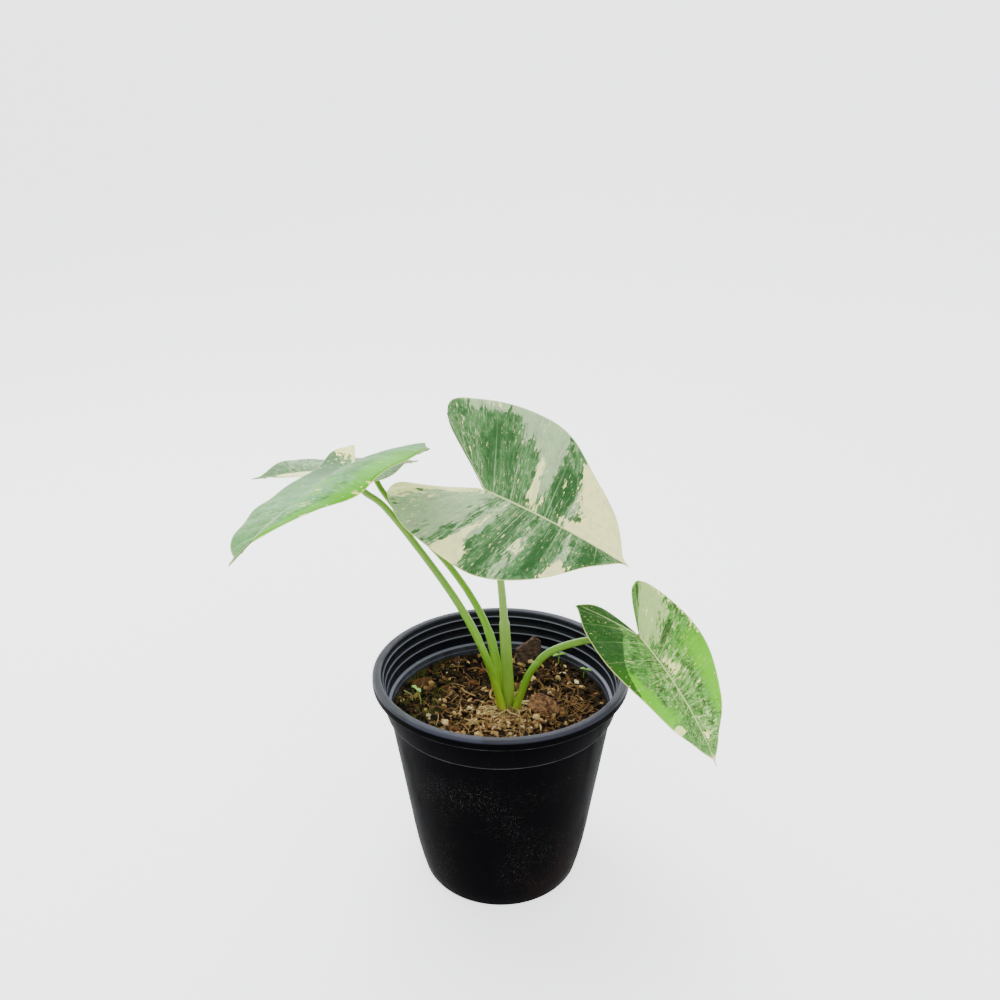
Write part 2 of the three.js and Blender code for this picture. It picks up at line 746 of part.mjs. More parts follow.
// Loose bark: flat broken pieces that lie in the mix or stand in it. Each is an outline
// that is extruded to its thickness, then turned and put in its place.
const BARK = {
  bark_chip_right: {
    outline: [[-9.5, -3], [-5, -6], [3, -6.4], [9.5, -5], [10, 0.5], [4, 5.6], [-4, 7], [-9, 4]],
    thickness: 3,
    turn: [0.6, 0.12, -0.25],
    place: [26, -3.5, 111.6],
    color: 0x7a4b34,
  },
  bark_slab_back: {
    outline: [[-8, -9], [6.5, -9], [7.6, 1], [8.4, 9.5], [4, 13], [-2, 9], [-8.4, 6]],
    thickness: 3.2,
    turn: [1.3, 0, 0.25],
    place: [18.5, 52, 113],
    color: 0x2b211e,
  },
  bark_chip_left: {
    outline: [[-7, -2], [-1, -4], [6, -3], [7.4, 1], [2, 3.8], [-5, 3.4]],
    thickness: 2.6,
    turn: [0.28, -0.2, 0.3],
    place: [-49.5, 24, 110.2],
    color: 0x8a5630,
  },
  bark_chip_back_left: {
    outline: [[-4.5, -3], [3, -4], [5, 0], [1.5, 4], [-4, 3]],
    thickness: 2.4,
    turn: [0.4, 0.2, 0.9],
    place: [-27.5, 50.5, 109.6],
    color: 0x6d4329,
  },
  husk_block_front: {
    outline: [[-2.3, -2], [2, -2.3], [2.5, 1.7], [-1.8, 2.3]],
    thickness: 3.6,
    turn: [0.3, 0.25, 0.4],
    place: [-33, -19.5, 110],
    color: 0xc4a97f,
  },
};

function barkSolid(piece, grow) {
  const spread = 1 + grow / 3;
  const points = piece.outline.map(([x, y]) => new THREE.Vector2(x * spread, y * spread));
  const depth = piece.thickness + 2 * grow;
  const geometry = new THREE.ExtrudeGeometry(new THREE.Shape(points), { depth, bevelEnabled: false });
  geometry.translate(0, 0, -depth / 2);
  geometry.rotateX(piece.turn[0]);
  geometry.rotateY(piece.turn[1]);
  geometry.rotateZ(piece.turn[2]);
  geometry.translate(...piece.place);
  return toSolid(geometry);
}

// Weed seedlings: a thin stem with a pair of seed leaves, or a bare pale shoot.
const SEEDLINGS = {
  seedling_left: { foot: [-48.5, 1], height: 11, lean: [-2.4, 1], leaf: 4.2, color: 0x8fb84a },
  seedling_back: { foot: [37.5, 48], height: 7, lean: [0.8, 0.6], leaf: 4.4, color: 0x84ad45 },
  seedling_back_right: { foot: [52.5, 31], height: 6, lean: [1, -0.5], leaf: 3.6, color: 0x84ad45 },
  shoot_left: { foot: [-54, 4], height: 8, lean: [-4.5, -1.5], leaf: 0, color: 0xa9b878 },
};

function seedlingSolid({ foot, height, lean, leaf }, grow) {
  const [x, y] = foot;
  const base = mixTop(x, y);
  const start = new THREE.Vector3(x, y, base - 6 - grow);
  const end = new THREE.Vector3(x + lean[0], y + lean[1], base + height);
  const middle = new THREE.Vector3(x, y, base + height * 0.4);
  const path = new THREE.CatmullRomCurve3([start, middle, end]);
  const section = new THREE.Shape();
  section.absarc(0, 0, 0.55 + grow, 0, 2 * Math.PI);
  const stem = new THREE.ExtrudeGeometry(section, { extrudePath: path, steps: 4, curveSegments: 4 });
  const parts = [toSolid(stem)];
  for (const side of leaf > 0 ? [-1, 1] : []) {
    const seedLeaf = new THREE.SphereGeometry(1, 8, 4);
    seedLeaf.scale(leaf / 2, leaf / 3.2, 0.5);
    seedLeaf.translate(side * leaf * 0.42, 0, 0);
    seedLeaf.rotateY(-side * 0.35);
    seedLeaf.rotateZ(0.5 + x);
    seedLeaf.translate(end.x, end.y, end.z - 0.1);
    parts.push(toSolid(seedLeaf));
  }
  return joined(parts);
}

// Assembly. Later stalks clasp the earlier ones, so each is cut clear of those before it.

const LEAF_GREENS = { centre: 0x64915c, left_front: 0x78ad52, left_back: 0x86a277, right: 0x79ab52 };

addMesh('pot', buildPot(), 0x17181d, 0.42);

const grownStalks = [];
for (const [place, stalk] of Object.entries(STALKS)) {
  const body = cutBy(stalkSolid(stalk, 0), [...bladeRoom(BLADES[place]), ...grownStalks]);
  addMesh(`leaf_stalk_${place}`, toGeometry(mainBody(body)), 0x93bd52, 0.45);
  grownStalks.push(stalkSolid(stalk, GAP));
}

for (const [place, blade] of Object.entries(BLADES)) {
  const mesh = addMesh(`leaf_${place}`, bladeGeometry(blade, 0), LEAF_GREENS[place], 0.5);
  bladePlacement(blade).decompose(mesh.position, mesh.quaternion, mesh.scale);
}

const crown = mainBody(cutBy(buildCrown(0), grownStalks));
addMesh('crown', toGeometry(crown), 0xb5a468, 0.8);

const mixCutters = [buildCrown(GAP), ...grownStalks];
for (const [name, piece] of Object.entries(BARK)) {
  addMesh(name, toGeometry(barkSolid(piece, 0)), piece.color, 0.9);
  mixCutters.push(barkSolid(piece, GAP));
}
for (const [name, seedling] of Object.entries(SEEDLINGS)) {
  addMesh(name, toGeometry(seedlingSolid(seedling, 0)), seedling.color, 0.6);
  mixCutters.push(seedlingSolid(seedling, GAP));
}

const mix = mainBody(cutBy(joined([mixPlug(), ...mixBits()]), mixCutters));
addMesh('potting_mix', toGeometry(mix), 0x3a2a1f, 0.95);

export default plant;
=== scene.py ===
import math

import bmesh
import bpy
import numpy as np
from mathutils import Matrix, Vector


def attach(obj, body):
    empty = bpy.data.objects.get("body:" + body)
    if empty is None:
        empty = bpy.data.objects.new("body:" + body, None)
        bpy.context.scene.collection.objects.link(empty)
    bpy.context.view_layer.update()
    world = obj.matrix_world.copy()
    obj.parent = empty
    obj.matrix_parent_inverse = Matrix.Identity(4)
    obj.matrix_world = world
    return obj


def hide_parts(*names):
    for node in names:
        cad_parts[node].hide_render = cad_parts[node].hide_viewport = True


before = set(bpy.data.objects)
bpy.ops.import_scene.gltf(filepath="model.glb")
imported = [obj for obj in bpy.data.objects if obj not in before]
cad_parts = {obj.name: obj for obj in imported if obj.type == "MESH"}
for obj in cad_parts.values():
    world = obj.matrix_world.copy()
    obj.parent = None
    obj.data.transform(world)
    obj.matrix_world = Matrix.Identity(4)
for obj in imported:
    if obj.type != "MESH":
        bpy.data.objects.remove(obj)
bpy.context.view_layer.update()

# Camera. It looks from the front and 21.55 degrees down, from 0.68 m off, as the photo does.

camera_data = bpy.data.cameras.new("camera")
camera_data.lens = 36
camera_data.sensor_width = 36
camera_data.shift_x = -0.0007
camera = bpy.data.objects.new("camera", camera_data)
camera.location = (0, -0.5165, 0.447)
camera.rotation_euler = (math.radians(90 - 21.55), 0, 0)
bpy.context.scene.collection.objects.link(camera)
bpy.context.scene.camera = camera

# Studio. A pale floor that glows a little and curves up into a backdrop, under a pale sky, with
# a wide soft lamp above and behind and a weaker one in front.

world = bpy.data.worlds.new("studio")
world.use_nodes = True
world.node_tree.nodes["Background"].inputs["Color"].default_value = (0.93, 0.95, 1.0, 1)
world.node_tree.nodes["Background"].inputs["Strength"].default_value = 1.15
bpy.context.scene.world = world

sweep = [(-4.0, 0.0), (1.5, 0.0)]
sweep += [(1.5 + 1.5 * math.sin(math.radians(a)), 1.5 - 1.5 * math.cos(math.radians(a)))
          for a in range(6, 91, 6)]
sweep.append((3.0, 5.0))
floor_points = [(x, y, z) for y, z in sweep for x in (-5.0, 5.0)]
floor_faces = [(2 * k, 2 * k + 1, 2 * k + 3, 2 * k + 2) for k in range(len(sweep) - 1)]
floor_mesh = bpy.data.meshes.new("floor")
floor_mesh.from_pydata(floor_points, [], floor_faces)
floor_mesh.shade_smooth()
floor = bpy.data.objects.new("floor", floor_mesh)
bpy.context.scene.collection.objects.link(floor)
floor_material = bpy.data.materials.new("floor")
floor_material.use_nodes = True
floor_shader = floor_material.node_tree.nodes["Principled BSDF"]
floor_shader.inputs["Base Color"].default_value = (0.93, 0.93, 0.93, 1)
floor_shader.inputs["Roughness"].default_value = 0.9
floor_shader.inputs["Emission Color"].default_value = (0.97, 0.98, 1.0, 1)
floor_shader.inputs["Emission Strength"].default_value = 1.6
floor_mesh.materials.append(floor_material)

for lamp_name, place, size, power in (
    ("lamp_above", (-0.5, 0.5, 1.3), 1.0, 20.0),
    ("lamp_front", (0.6, -1.3, 1.3), 1.0, 8.0),
):
    lamp_data = bpy.data.lights.new(lamp_name, "AREA")
    lamp_data.size = size
    lamp_data.energy = power
    lamp = bpy.data.objects.new(lamp_name, lamp_data)
    lamp.location = place
    lamp.rotation_euler = (Vector((0, 0, 0.15)) - Vector(place)).to_track_quat("-Z", "Y").to_euler()
    bpy.context.scene.collection.objects.link(lamp)

# Pot. A thin black injection moulded nursery pot: folded lip, collar with rings inside it,
# tapering wall, turned-in foot with drain holes. Spun from its section, in millimetres.

MM = 0.001


def make_object(name, mesh, slot, *nodes):
    made = bpy.data.objects.new(name, mesh)
    bpy.context.scene.collection.objects.link(made)
    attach(made, "root")
    if nodes:
        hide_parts(*nodes)
    return made


def smooth_mesh(mesh, angle):
    mesh.shade_smooth()
    if angle < 180:
        mesh.set_sharp_from_angle(angle=math.radians(angle))
    return mesh


def finish_shape(name, shape, smooth_angle=40):
    """Mesh of a bmesh, which is freed."""
    mesh = bpy.data.meshes.new(name)
    shape.to_mesh(mesh)
    shape.free()
    return smooth_mesh(mesh, smooth_angle)


def spin_section(section, sides):
    """Closed solid spun round the upright axis from (radius, height) corners, ends on the axis."""
    shape = bmesh.new()
    corners = [shape.verts.new((radius * MM, 0, height * MM)) for radius, height in section]
    outline = [shape.edges.new(pair) for pair in zip(corners, corners[1:])]
    bmesh.ops.spin(shape, geom=corners + outline, axis=(0, 0, 1), cent=(0, 0, 0), dvec=(0, 0, 0),
                   angle=2 * math.pi, steps=sides, use_merge=True)
    bmesh.ops.remove_doubles(shape, verts=shape.verts, dist=1e-7)
    bmesh.ops.recalc_face_normals(shape, faces=shape.faces)
    return shape


class Shader:
    """A material under construction: plain calls that add and link its nodes."""

    def __init__(self, name):
        self.material = bpy.data.materials.new(name)
        self.material.use_nodes = True
        self.tree = self.material.node_tree
        self.principled = self.tree.nodes["Principled BSDF"]
        self.place = self.tree.nodes.new("ShaderNodeTexCoord").outputs["Object"]

    def link(self, socket, value):
        if isinstance(value, bpy.types.NodeSocket):
            self.tree.links.new(value, socket)
        else:
            socket.default_value = value

    def node(self, kind, settings=(), **inputs):
        made = self.tree.nodes.new("ShaderNode" + kind)
        for key, value in dict(settings).items():
            setattr(made, key, value)
        for key, value in inputs.items():
            self.link(made.inputs[key.replace("_", " ")], value)
        return made

    def math(self, operation, first, second=0.0, third=0.0):
        made = self.node("Math", {"operation": operation})
        for socket, value in zip(made.inputs, (first, second, third)):
            self.link(socket, value)
        return made.outputs[0]

    def product(self, first, *others):
        for value in others:
            first = self.math("MULTIPLY", first, value)
        return first

    def noise(self, vector, scale, detail=4.0, roughness=0.55, distortion=0.0):
        made = self.node("TexNoise", Vector=vector, Scale=scale, Detail=detail, Roughness=roughness,
                         Distortion=distortion)
        return made.outputs["Fac"]

    def stretched(self, vector, x, y, z):
        return self.node("Mapping", Vector=vector, Scale=(x, y, z)).outputs[0]

    def step(self, value, low, high, start=0.0, end=1.0):
        made = self.node("MapRange", {"interpolation_type": "SMOOTHSTEP"}, Value=value,
                         From_Min=low, From_Max=high, To_Min=start, To_Max=end)
        return made.outputs[0]

    def mix(self, share, first, second):
        made = self.node("Mix", {"data_type": "RGBA"})
        self.link(made.inputs[0], share)
        self.link(made.inputs[6], first)
        self.link(made.inputs[7], second)
        return made.outputs[2]

    def attribute(self, name):
        return self.node("Attribute", {"attribute_name": name}).outputs["Fac"]

    def parts(self, vector):
        return tuple(self.node("SeparateXYZ", Vector=vector).outputs)

    def length(self, vector):
        return self.node("VectorMath", {"operation": "LENGTH"}, Vector=vector).outputs["Value"]

    def ramp(self, share, *stops, interpolation="LINEAR"):
        """Colour that goes through (position, screen colour) stops, given in rising order."""
        made = self.node("ValToRGB", Fac=share)
        made.color_ramp.interpolation = interpolation
        elements = made.color_ramp.elements
        for position, tone in stops[1:-1]:
            elements.new(position).color = colour(*tone)
        for end in (0, -1):
            elements[end].position = stops[end][0]
            elements[end].color = colour(*stops[end][1])
        return made.outputs["Color"]

    def set(self, **inputs):
        for key, value in inputs.items():
            self.link(self.principled.inputs[key.replace("_", " ")], value)

    def bump(self, height, strength, distance):
        self.set(Normal=self.node("Bump", Height=height, Strength=strength,
                                  Distance=distance).outputs[0])


def colour(red, green, blue):
    """The shader's linear colour for an 8-bit screen colour."""
    return tuple(((c / 255 + 0.055) / 1.055) ** 2.4 if c > 10 else c / 3295
                 for c in (red, green, blue)) + (1.0,)


RIM_RADIUS = 76
POT_HEIGHT = 136.7
WALL = 1.4
LIP_INNER = RIM_RADIUS - 5.4
LIP_BOTTOM = POT_HEIGHT - 6
COLLAR_BOTTOM = 113.6
COLLAR_INSIDE = 67.2
RING_COUNT = 3
RING_SPACING = 5.6
HOLE_COUNT = 8
HOLE_RADIUS = 4
HOLE_CIRCLE = 30
HOLE_SIDES = 28
POT_SIDES = 160
WALL_OUTSIDE = [(48.2, 1.6), (50.4, 10), (52.9, 22), (54.9, 34), (56.5, 45.2), (66.8, 113.6)]


def wall_radius(height):
    radii, heights = zip(*WALL_OUTSIDE)
    return float(np.interp(height, heights, radii))


pot_section = [(0, 0), (18, 0), (20, 2.2), (38, 2.2), (40, 0), (46.6, 0), (47.5, 0.4)]
pot_section += WALL_OUTSIDE
pot_section += [(68.3, 113.7), (68.6, 114.0), (68.9, 115.2), (69.2, 116), (72, LIP_BOTTOM)]
pot_section += [(72.3, POT_HEIGHT - WALL), (74.2, POT_HEIGHT - WALL), (74.6, LIP_BOTTOM)]
pot_section += [(75.5, LIP_BOTTOM), (75.85, LIP_BOTTOM + 0.3), (76, LIP_BOTTOM + 0.9)]
for step in range(7):
    turn = math.radians(15 * step)
    pot_section.append((74.2 + 1.8 * math.cos(turn), POT_HEIGHT - 1.8 + 1.8 * math.sin(turn)))
for step in range(6):
    turn = math.radians(90 + 18 * step)
    pot_section.append((LIP_INNER + 1.5 + 1.5 * math.cos(turn),
                        POT_HEIGHT - 1.5 + 1.5 * math.sin(turn)))
for ring in range(RING_COUNT):
    height = LIP_BOTTOM + 1.8 - ring * RING_SPACING
    share = (height - COLLAR_BOTTOM) / (POT_HEIGHT - 2 - COLLAR_BOTTOM)
    radius = COLLAR_INSIDE + (LIP_INNER - COLLAR_INSIDE) * share
    pot_section += [(radius, height + 1.1), (radius - 0.15, height + 0.9)]
    pot_section += [(radius - 0.7, height + 0.35), (radius - 0.75, height)]
    pot_section += [(radius - 0.7, height - 0.4), (radius - 0.3, height - 1.6)]
pot_section += [(COLLAR_INSIDE, 115.4), (67.0, 115.35), (65.7, 115.1), (65.5, 114.9)]
pot_section += [(radius - WALL, height) for radius, height in WALL_OUTSIDE[:0:-1]]
pot_section += [(46.8, 3), (45.2, 1.4), (40.8, 1.4), (38.8, 3.6), (19.2, 3.6), (17.2, 1.4), (0, 1.4)]

pot = make_object("pot_shell", finish_shape("pot_shell", spin_section(pot_section, POT_SIDES)),
                  "pot_plastic", "pot")
holes = bmesh.new()
for number in range(HOLE_COUNT):
    bearing = (number + 0.5) * 2 * math.pi / HOLE_COUNT
    middle = Vector((HOLE_CIRCLE * math.cos(bearing), HOLE_CIRCLE * math.sin(bearing), 2)) * MM
    bmesh.ops.create_cone(holes, cap_ends=True, segments=HOLE_SIDES, radius1=HOLE_RADIUS * MM,
                          radius2=HOLE_RADIUS * MM, depth=12 * MM, matrix=Matrix.Translation(middle))
cutter = bpy.data.objects.new("holes", finish_shape("holes", holes))
bpy.context.scene.collection.objects.link(cutter)
cut = pot.modifiers.new("holes", "BOOLEAN")
cut.operation = "DIFFERENCE"
cut.object = cutter
cut_mesh = bpy.data.meshes.new_from_object(pot.evaluated_get(bpy.context.evaluated_depsgraph_get()))
pot.modifiers.remove(cut)
bpy.data.objects.remove(cutter)
pot.data = cut_mesh
pot.data.name = "pot_shell"

# Black plastic: dusty grey specks that thicken down the left of the wall, an earthy film low on
# the right, a faint dried water ring, and painted light: a bluish sheen on the inner wall with
# highlights on its ring crests, highlight lines along the outer collar step and under the lip, and a
# bluish sheen on the lip, lighter along a stretch that is partly worn.

plastic = Shader("pot_plastic")
across_pot, along_view, height = plastic.parts(plastic.place)
specks = plastic.step(plastic.noise(plastic.place, 1400, 2, 0.7), 0.61, 0.68)
patches = plastic.step(plastic.noise(plastic.place, 22, 5, 0.6), 0.45, 0.7)
left_side = plastic.step(across_pot, 0.03, -0.05, 0.5, 1.0)
outside = plastic.step(height, 0.112, 0.09)
dust = plastic.product(specks, patches, left_side, outside)
ring_place = plastic.node("Mapping", Vector=plastic.place, Location=(0.038, 0.052, -0.092))
ring_range = plastic.length(ring_place.outputs[0])
ring_wave = plastic.math("PINGPONG", plastic.product(ring_range, 1000), 1)
ring_zone = plastic.step(ring_range, 0.011, 0.004)
stain = plastic.product(plastic.step(ring_wave, 0.55, 1.0), ring_zone)
film = plastic.step(plastic.noise(plastic.stretched(plastic.place, 1, 1, 0.35), 60, 6, 0.65), 0.4, 0.8)
earthy = plastic.product(plastic.step(across_pot, 0.0, 0.035), plastic.step(height, 0.07, 0.02))
range_out = plastic.length(plastic.stretched(plastic.place, 1, 1, 0))
wall_middle = plastic.math("MULTIPLY_ADD", height, 0.1506, 0.04900)
collar_middle = plastic.math("MULTIPLY_ADD", height, 0.19, 0.04640)
shell_middle = plastic.mix(plastic.step(height, 0.1138, 0.1144), wall_middle, collar_middle)
inner = plastic.step(plastic.math("SUBTRACT", range_out, shell_middle), 0.0002, -0.0002)
lining = plastic.product(inner, plastic.step(height, 0.098, 0.104))


def height_line(middle, half_width):
    away = plastic.math("ABSOLUTE", plastic.math("SUBTRACT", height, middle))
    return plastic.step(away, half_width, half_width * 0.35)


# Painted highlights: thin pale lines along the ring crests inside.
crest_highlights = height_line(0.1153, 0.0006)
for crest in (0.1216, 0.1272, 0.1328):
    crest_highlights = plastic.math("MAXIMUM", crest_highlights, height_line(crest, 0.0005))
crest_highlights = plastic.math("MAXIMUM", crest_highlights, plastic.product(height_line(0.1118, 0.0005), 0.6))
dusty = plastic.step(height, 0.1150, 0.1146)
dusty_film = plastic.math("MULTIPLY_ADD", film, 0.5, 0.35)
# Painted highlights: pale lines along the outer collar step and the lip's lower edge, broken up by
# noise.
outer_edge_highlights = plastic.math("MAXIMUM", height_line(0.1140, 0.0004), height_line(0.1308, 0.0005))
outer_edge_highlights = plastic.product(outer_edge_highlights, plastic.math("SUBTRACT", 1.0, inner))
highlight_breakup = plastic.step(plastic.noise(plastic.place, 60, 4, 0.6), 0.3, 0.7)
# Painted sheen: the lip is painted bluish grey for the sky's glare, and lighter still along a front
# stretch that is partly worn.
lip_zone = plastic.step(height, 0.1345, 0.1364)
worn_and_sheen_stretch = plastic.product(plastic.step(across_pot, -0.0525, -0.0495),
                            plastic.step(across_pot, -0.0085, -0.0115),
                            plastic.step(along_view, -0.03, -0.045))
lip_sheen_and_wear = plastic.math("MULTIPLY_ADD", worn_and_sheen_stretch, 0.4, 0.45)
body = plastic.mix(plastic.product(film, 0.5), colour(4, 4, 5), colour(9, 9, 11))
for layer_share, layer_tone in (
    (plastic.product(stain, 0.12), (50, 52, 62)),
    (plastic.product(dust, 0.7), (96, 90, 86)),
    (plastic.product(earthy, film, 0.4), (40, 24, 18)),
    # Painted sheen: the inner wall is painted a lighter bluish black.
    (plastic.product(lining, 0.7), (24, 25, 33)),
    (plastic.product(lining, dusty, dusty_film), (84, 86, 98)),
    # Painted highlights on the ring crests.
    (plastic.product(lining, crest_highlights, 0.6), (150, 152, 170)),
    # Painted highlight lines on the outer edges.
    (plastic.product(outer_edge_highlights, highlight_breakup, 0.35), (120, 118, 122)),
    # Painted sheen on the lip, partly wear.
    (plastic.product(lip_zone, lip_sheen_and_wear), (56, 58, 74)),
):
    body = plastic.mix(layer_share, body, colour(*layer_tone))
shine = plastic.math("MAXIMUM", plastic.product(lining, 0.5), lip_zone)
plastic.set(Base_Color=body, Roughness=plastic.step(film, 0.0, 1.0, 0.4, 0.58),
            Specular_IOR_Level=plastic.step(shine, 0.0, 1.0, 0.004, 0.3))
grain = plastic.noise(plastic.place, 900, 3, 0.6)
waviness = plastic.noise(plastic.stretched(plastic.place, 1, 1, 0.4), 35, 2)
plastic.bump(plastic.math("MULTIPLY_ADD", waviness, 3.0, grain), 0.12, 0.0006)
pot.data.materials.clear()
pot.data.materials.append(plastic.material)

# Potting mix. Coconut husk and bark compost that fills the pot: a solid plug whose top is a
# height field of lumps, raised a little in front of the crown.

MIX_LEVEL = 108.6
CROWN = (3.4, -2.8)


def smooth_step(low, high, value):
    share = np.clip((np.asarray(value, float) - low) / (high - low), 0, 1)
    return share * share * (3 - 2 * share)


def lattice(x, y, z, seed):
    """Repeatable random number from 0 to 1 for every whole-number place."""
    mixed = (x * 374761393 + y * 668265263 + z * 2147483647 + seed * 144665) & 0xFFFFFFFF
    mixed = ((mixed ^ (mixed >> 13)) * 1274126177) & 0xFFFFFFFF
    return ((mixed ^ (mixed >> 16)) & 0xFFFF) / 65535.0


def value_noise(points, size, octaves=3, seed=0):
    """Soft random relief from about -1 to 1 whose largest lumps are size wide."""
    points = np.asarray(points, float)
    total = np.zeros(points.shape[:-1])
    weight, weights = 1.0, 0.0
    for octave in range(octaves):
        scaled = points / size * 2 ** octave + 37.7 * (octave + 1)
        cell = np.floor(scaled).astype(np.int64)
        part = scaled - cell
        part = part * part * (3 - 2 * part)
        level = np.zeros(total.shape)
        for corner in range(8):
            offset = np.array([corner & 1, corner >> 1 & 1, corner >> 2 & 1])
            share = np.prod(np.where(offset == 1, part, 1 - part), axis=-1)
            spot = cell + offset
            level += share * lattice(spot[..., 0], spot[..., 1], spot[..., 2], seed + octave)
        total += weight * (level * 2 - 1)
        weights += weight
        weight *= 0.5
    return total / weights


def mix_top(x, y):
    """Height of the potting mix, as in the part."""
    radius = np.hypot(x, y)
    lumps = (np.sin(x * 0.31 + 1.2) * np.cos(y * 0.27 - 0.4) + 0.6 * np.sin(x * 0.62 - y * 0.51)
             + 0.4 * np.cos(x * 0.83 + y * 0.94 + 2))
    edge = 2.2 * smooth_step(35, 66, radius) * np.abs(x) / (radius + 1)
    heap = 3 * np.exp(-((x - 1) / 15) ** 2 - ((y + 16) / 11) ** 2)
    return MIX_LEVEL + 1.3 * lumps * (1 - 0.6 * smooth_step(50, 64, radius)) + edge + heap


def mix_surface(x, y):
    """Height of the finished surface: the part's, with crumbs."""
    flat = np.stack([np.asarray(x, float), np.asarray(y, float), np.zeros(np.shape(x))], -1)
    crumbs = 1.1 * value_noise(flat, 7, 3, 5) + 0.8 * np.abs(value_noise(flat, 2.6, 3, 9))
    return mix_top(x, y) + crumbs


MIX_SIDES = 220
MIX_RINGS = 84
MIX_BOTTOM = 3.9
MIX_CLEARANCE = 0.45
mix_section = [(0, MIX_BOTTOM), (wall_radius(4) - 2.2, MIX_BOTTOM)]
mix_section += [(wall_radius(height) - WALL - MIX_CLEARANCE, height)
                for height in (10, 22, 34, 45.2, 100, MIX_LEVEL)]
top_radius = mix_section[-1][0]
mix_section += [(top_radius * (1 - ring / MIX_RINGS), MIX_LEVEL) for ring in range(1, MIX_RINGS + 1)]
plug = spin_section(mix_section, MIX_SIDES)
top = [vertex for vertex in plug.verts if vertex.co.z > (MIX_LEVEL - 0.1) * MM]
flat_top = np.array([vertex.co for vertex in top]) / MM
for vertex, level in zip(top, mix_surface(flat_top[:, 0], flat_top[:, 1])):
    vertex.co.z = float(level) * MM
mix = make_object("mix_surface", finish_shape("mix_surface", plug, 180), "potting_mix", "potting_mix")

compost = Shader("compost")
coarse = compost.noise(compost.place, 160, 8, 0.7)
fine = compost.noise(compost.place, 700, 6, 0.7)
patch = compost.noise(compost.place, 38, 3, 0.5)
tone = compost.mix(compost.step(coarse, 0.35, 0.66), colour(10, 8, 6), colour(58, 42, 26))
tone = compost.mix(compost.step(fine, 0.56, 0.68), tone, colour(128, 98, 58))
tone = compost.mix(compost.product(compost.step(patch, 0.55, 0.7), 0.5), tone, colour(30, 22, 18))
mossy = compost.product(compost.step(compost.parts(compost.place)[0], -0.022, -0.05),
                        compost.step(compost.noise(compost.place, 90, 5, 0.6), 0.42, 0.58))
tone = compost.mix(compost.product(mossy, 0.55), tone, colour(78, 84, 34))
compost.set(Base_Color=tone, Roughness=0.93, Specular_IOR_Level=0.1)
compost.bump(compost.math("ADD", coarse, fine), 0.9, 0.0012)
mix.data.materials.append(compost.material)

# Bark crumbs. The loose top of the mix: broken bits of bark and husk of all browns, each an
# irregular flat lump, lying on the surface at all angles.

LUMP_SIDES = 7
CRUMB_COUNT = 2300
CRUMB_REACH = 62


def band_faces(rows, sides):
    """Quads between rows of points, where each row is a ring with that many sides."""
    faces = []
    for row in range(rows - 1):
        for side in range(sides):
            a = row * sides + side
            b = row * sides + (side + 1) % sides
            faces.append((a, b, b + sides, a + sides))
    return faces


def lump(random, length, width, height):
    """Points and faces of one irregular flat lump round the origin."""
    sides = LUMP_SIDES
    angles = (np.arange(sides) + random.random(sides) * 0.6) * 2 * np.pi / sides
    reach = 0.75 + 0.35 * random.random(sides)
    points = []
    for level, shrink in ((-0.5, 0.72), (0.05, 1.0), (0.5, 0.68)):
        jitter = 0.85 + 0.3 * random.random(sides)
        points += [(0.5 * length * shrink * r * j * math.cos(a),
                    0.5 * width * shrink * r * j * math.sin(a),
                    height * (level + 0.25 * (random.random() - 0.5)))
                   for a, r, j in zip(angles, reach, jitter)]
    faces = [tuple(reversed(range(sides))), tuple(range(2 * sides, 3 * sides))]
    return np.array(points), faces + band_faces(3, sides)


def rotation(x, y, z):
    cx, sx, cy, sy, cz, sz = (f(v) for v in (x, y, z) for f in (math.cos, math.sin))
    return (np.array([[cz, -sz, 0], [sz, cz, 0], [0, 0, 1]])
            @ np.array([[cy, 0, sy], [0, 1, 0], [-sy, 0, cy]])
            @ np.array([[1, 0, 0], [0, cx, -sx], [0, sx, cx]]))


def make_mesh(name, points, faces, smooth_angle=40):
    """Mesh of points in millimetres and the faces between them."""
    mesh = bpy.data.meshes.new(name)
    mesh.from_pydata((np.asarray(points) * MM).tolist(), [], [list(map(int, f)) for f in faces])
    mesh.update()
    return smooth_mesh(mesh, smooth_angle)


class Pile:
    """Many small bodies gathered into one mesh, each with a tint of its own."""

    def __init__(self):
        self.points, self.faces, self.tints = [], [], []
        self.count = 0

    def add(self, points, faces, tint):
        self.points.append(points)
        self.faces += [tuple(i + self.count for i in f) for f in faces]
        self.tints += [tint] * len(points)
        self.count += len(points)

    def build(self, name, smooth_angle=40):
        mesh = make_mesh(name, np.concatenate(self.points), self.faces, smooth_angle)
        mesh.attributes.new("tint", "FLOAT", "POINT").data.foreach_set("value", self.tints)
        return mesh


crumbs_random = np.random.default_rng(11)
crumbs = Pile()
while crumbs.count < 3 * LUMP_SIDES * CRUMB_COUNT:
    angle = crumbs_random.random() * 2 * math.pi
    radius = CRUMB_REACH * math.sqrt(crumbs_random.random())
    x, y = radius * math.cos(angle), radius * math.sin(angle)
    length = 1.2 + 6.5 * crumbs_random.random() ** 3
    in_heap = crumbs_random.random() < 0.3
    if in_heap:
        x, y = crumbs_random.normal((0, -17), (12, 8))
        length = 1.5 + 3.2 * crumbs_random.random()
    if math.hypot(x, y) > CRUMB_REACH:
        continue
    width = length * (0.35 + 0.5 * crumbs_random.random())
    turn = rotation(*(crumbs_random.normal(0, 0.45, 2)), crumbs_random.random() * 6.3)
    if math.hypot(x - CROWN[0], y - CROWN[1]) < 7 + length / 2:
        continue
    points, faces = lump(crumbs_random, length, width, 0.5 + 0.28 * length)
    lifted = points @ turn.T + (x, y, float(mix_surface(x, y)) + 0.25)
    paleness = crumbs_random.random()
    crumbs.add(lifted, faces, 0.79 + 0.2 * paleness if in_heap else paleness ** 1.1)

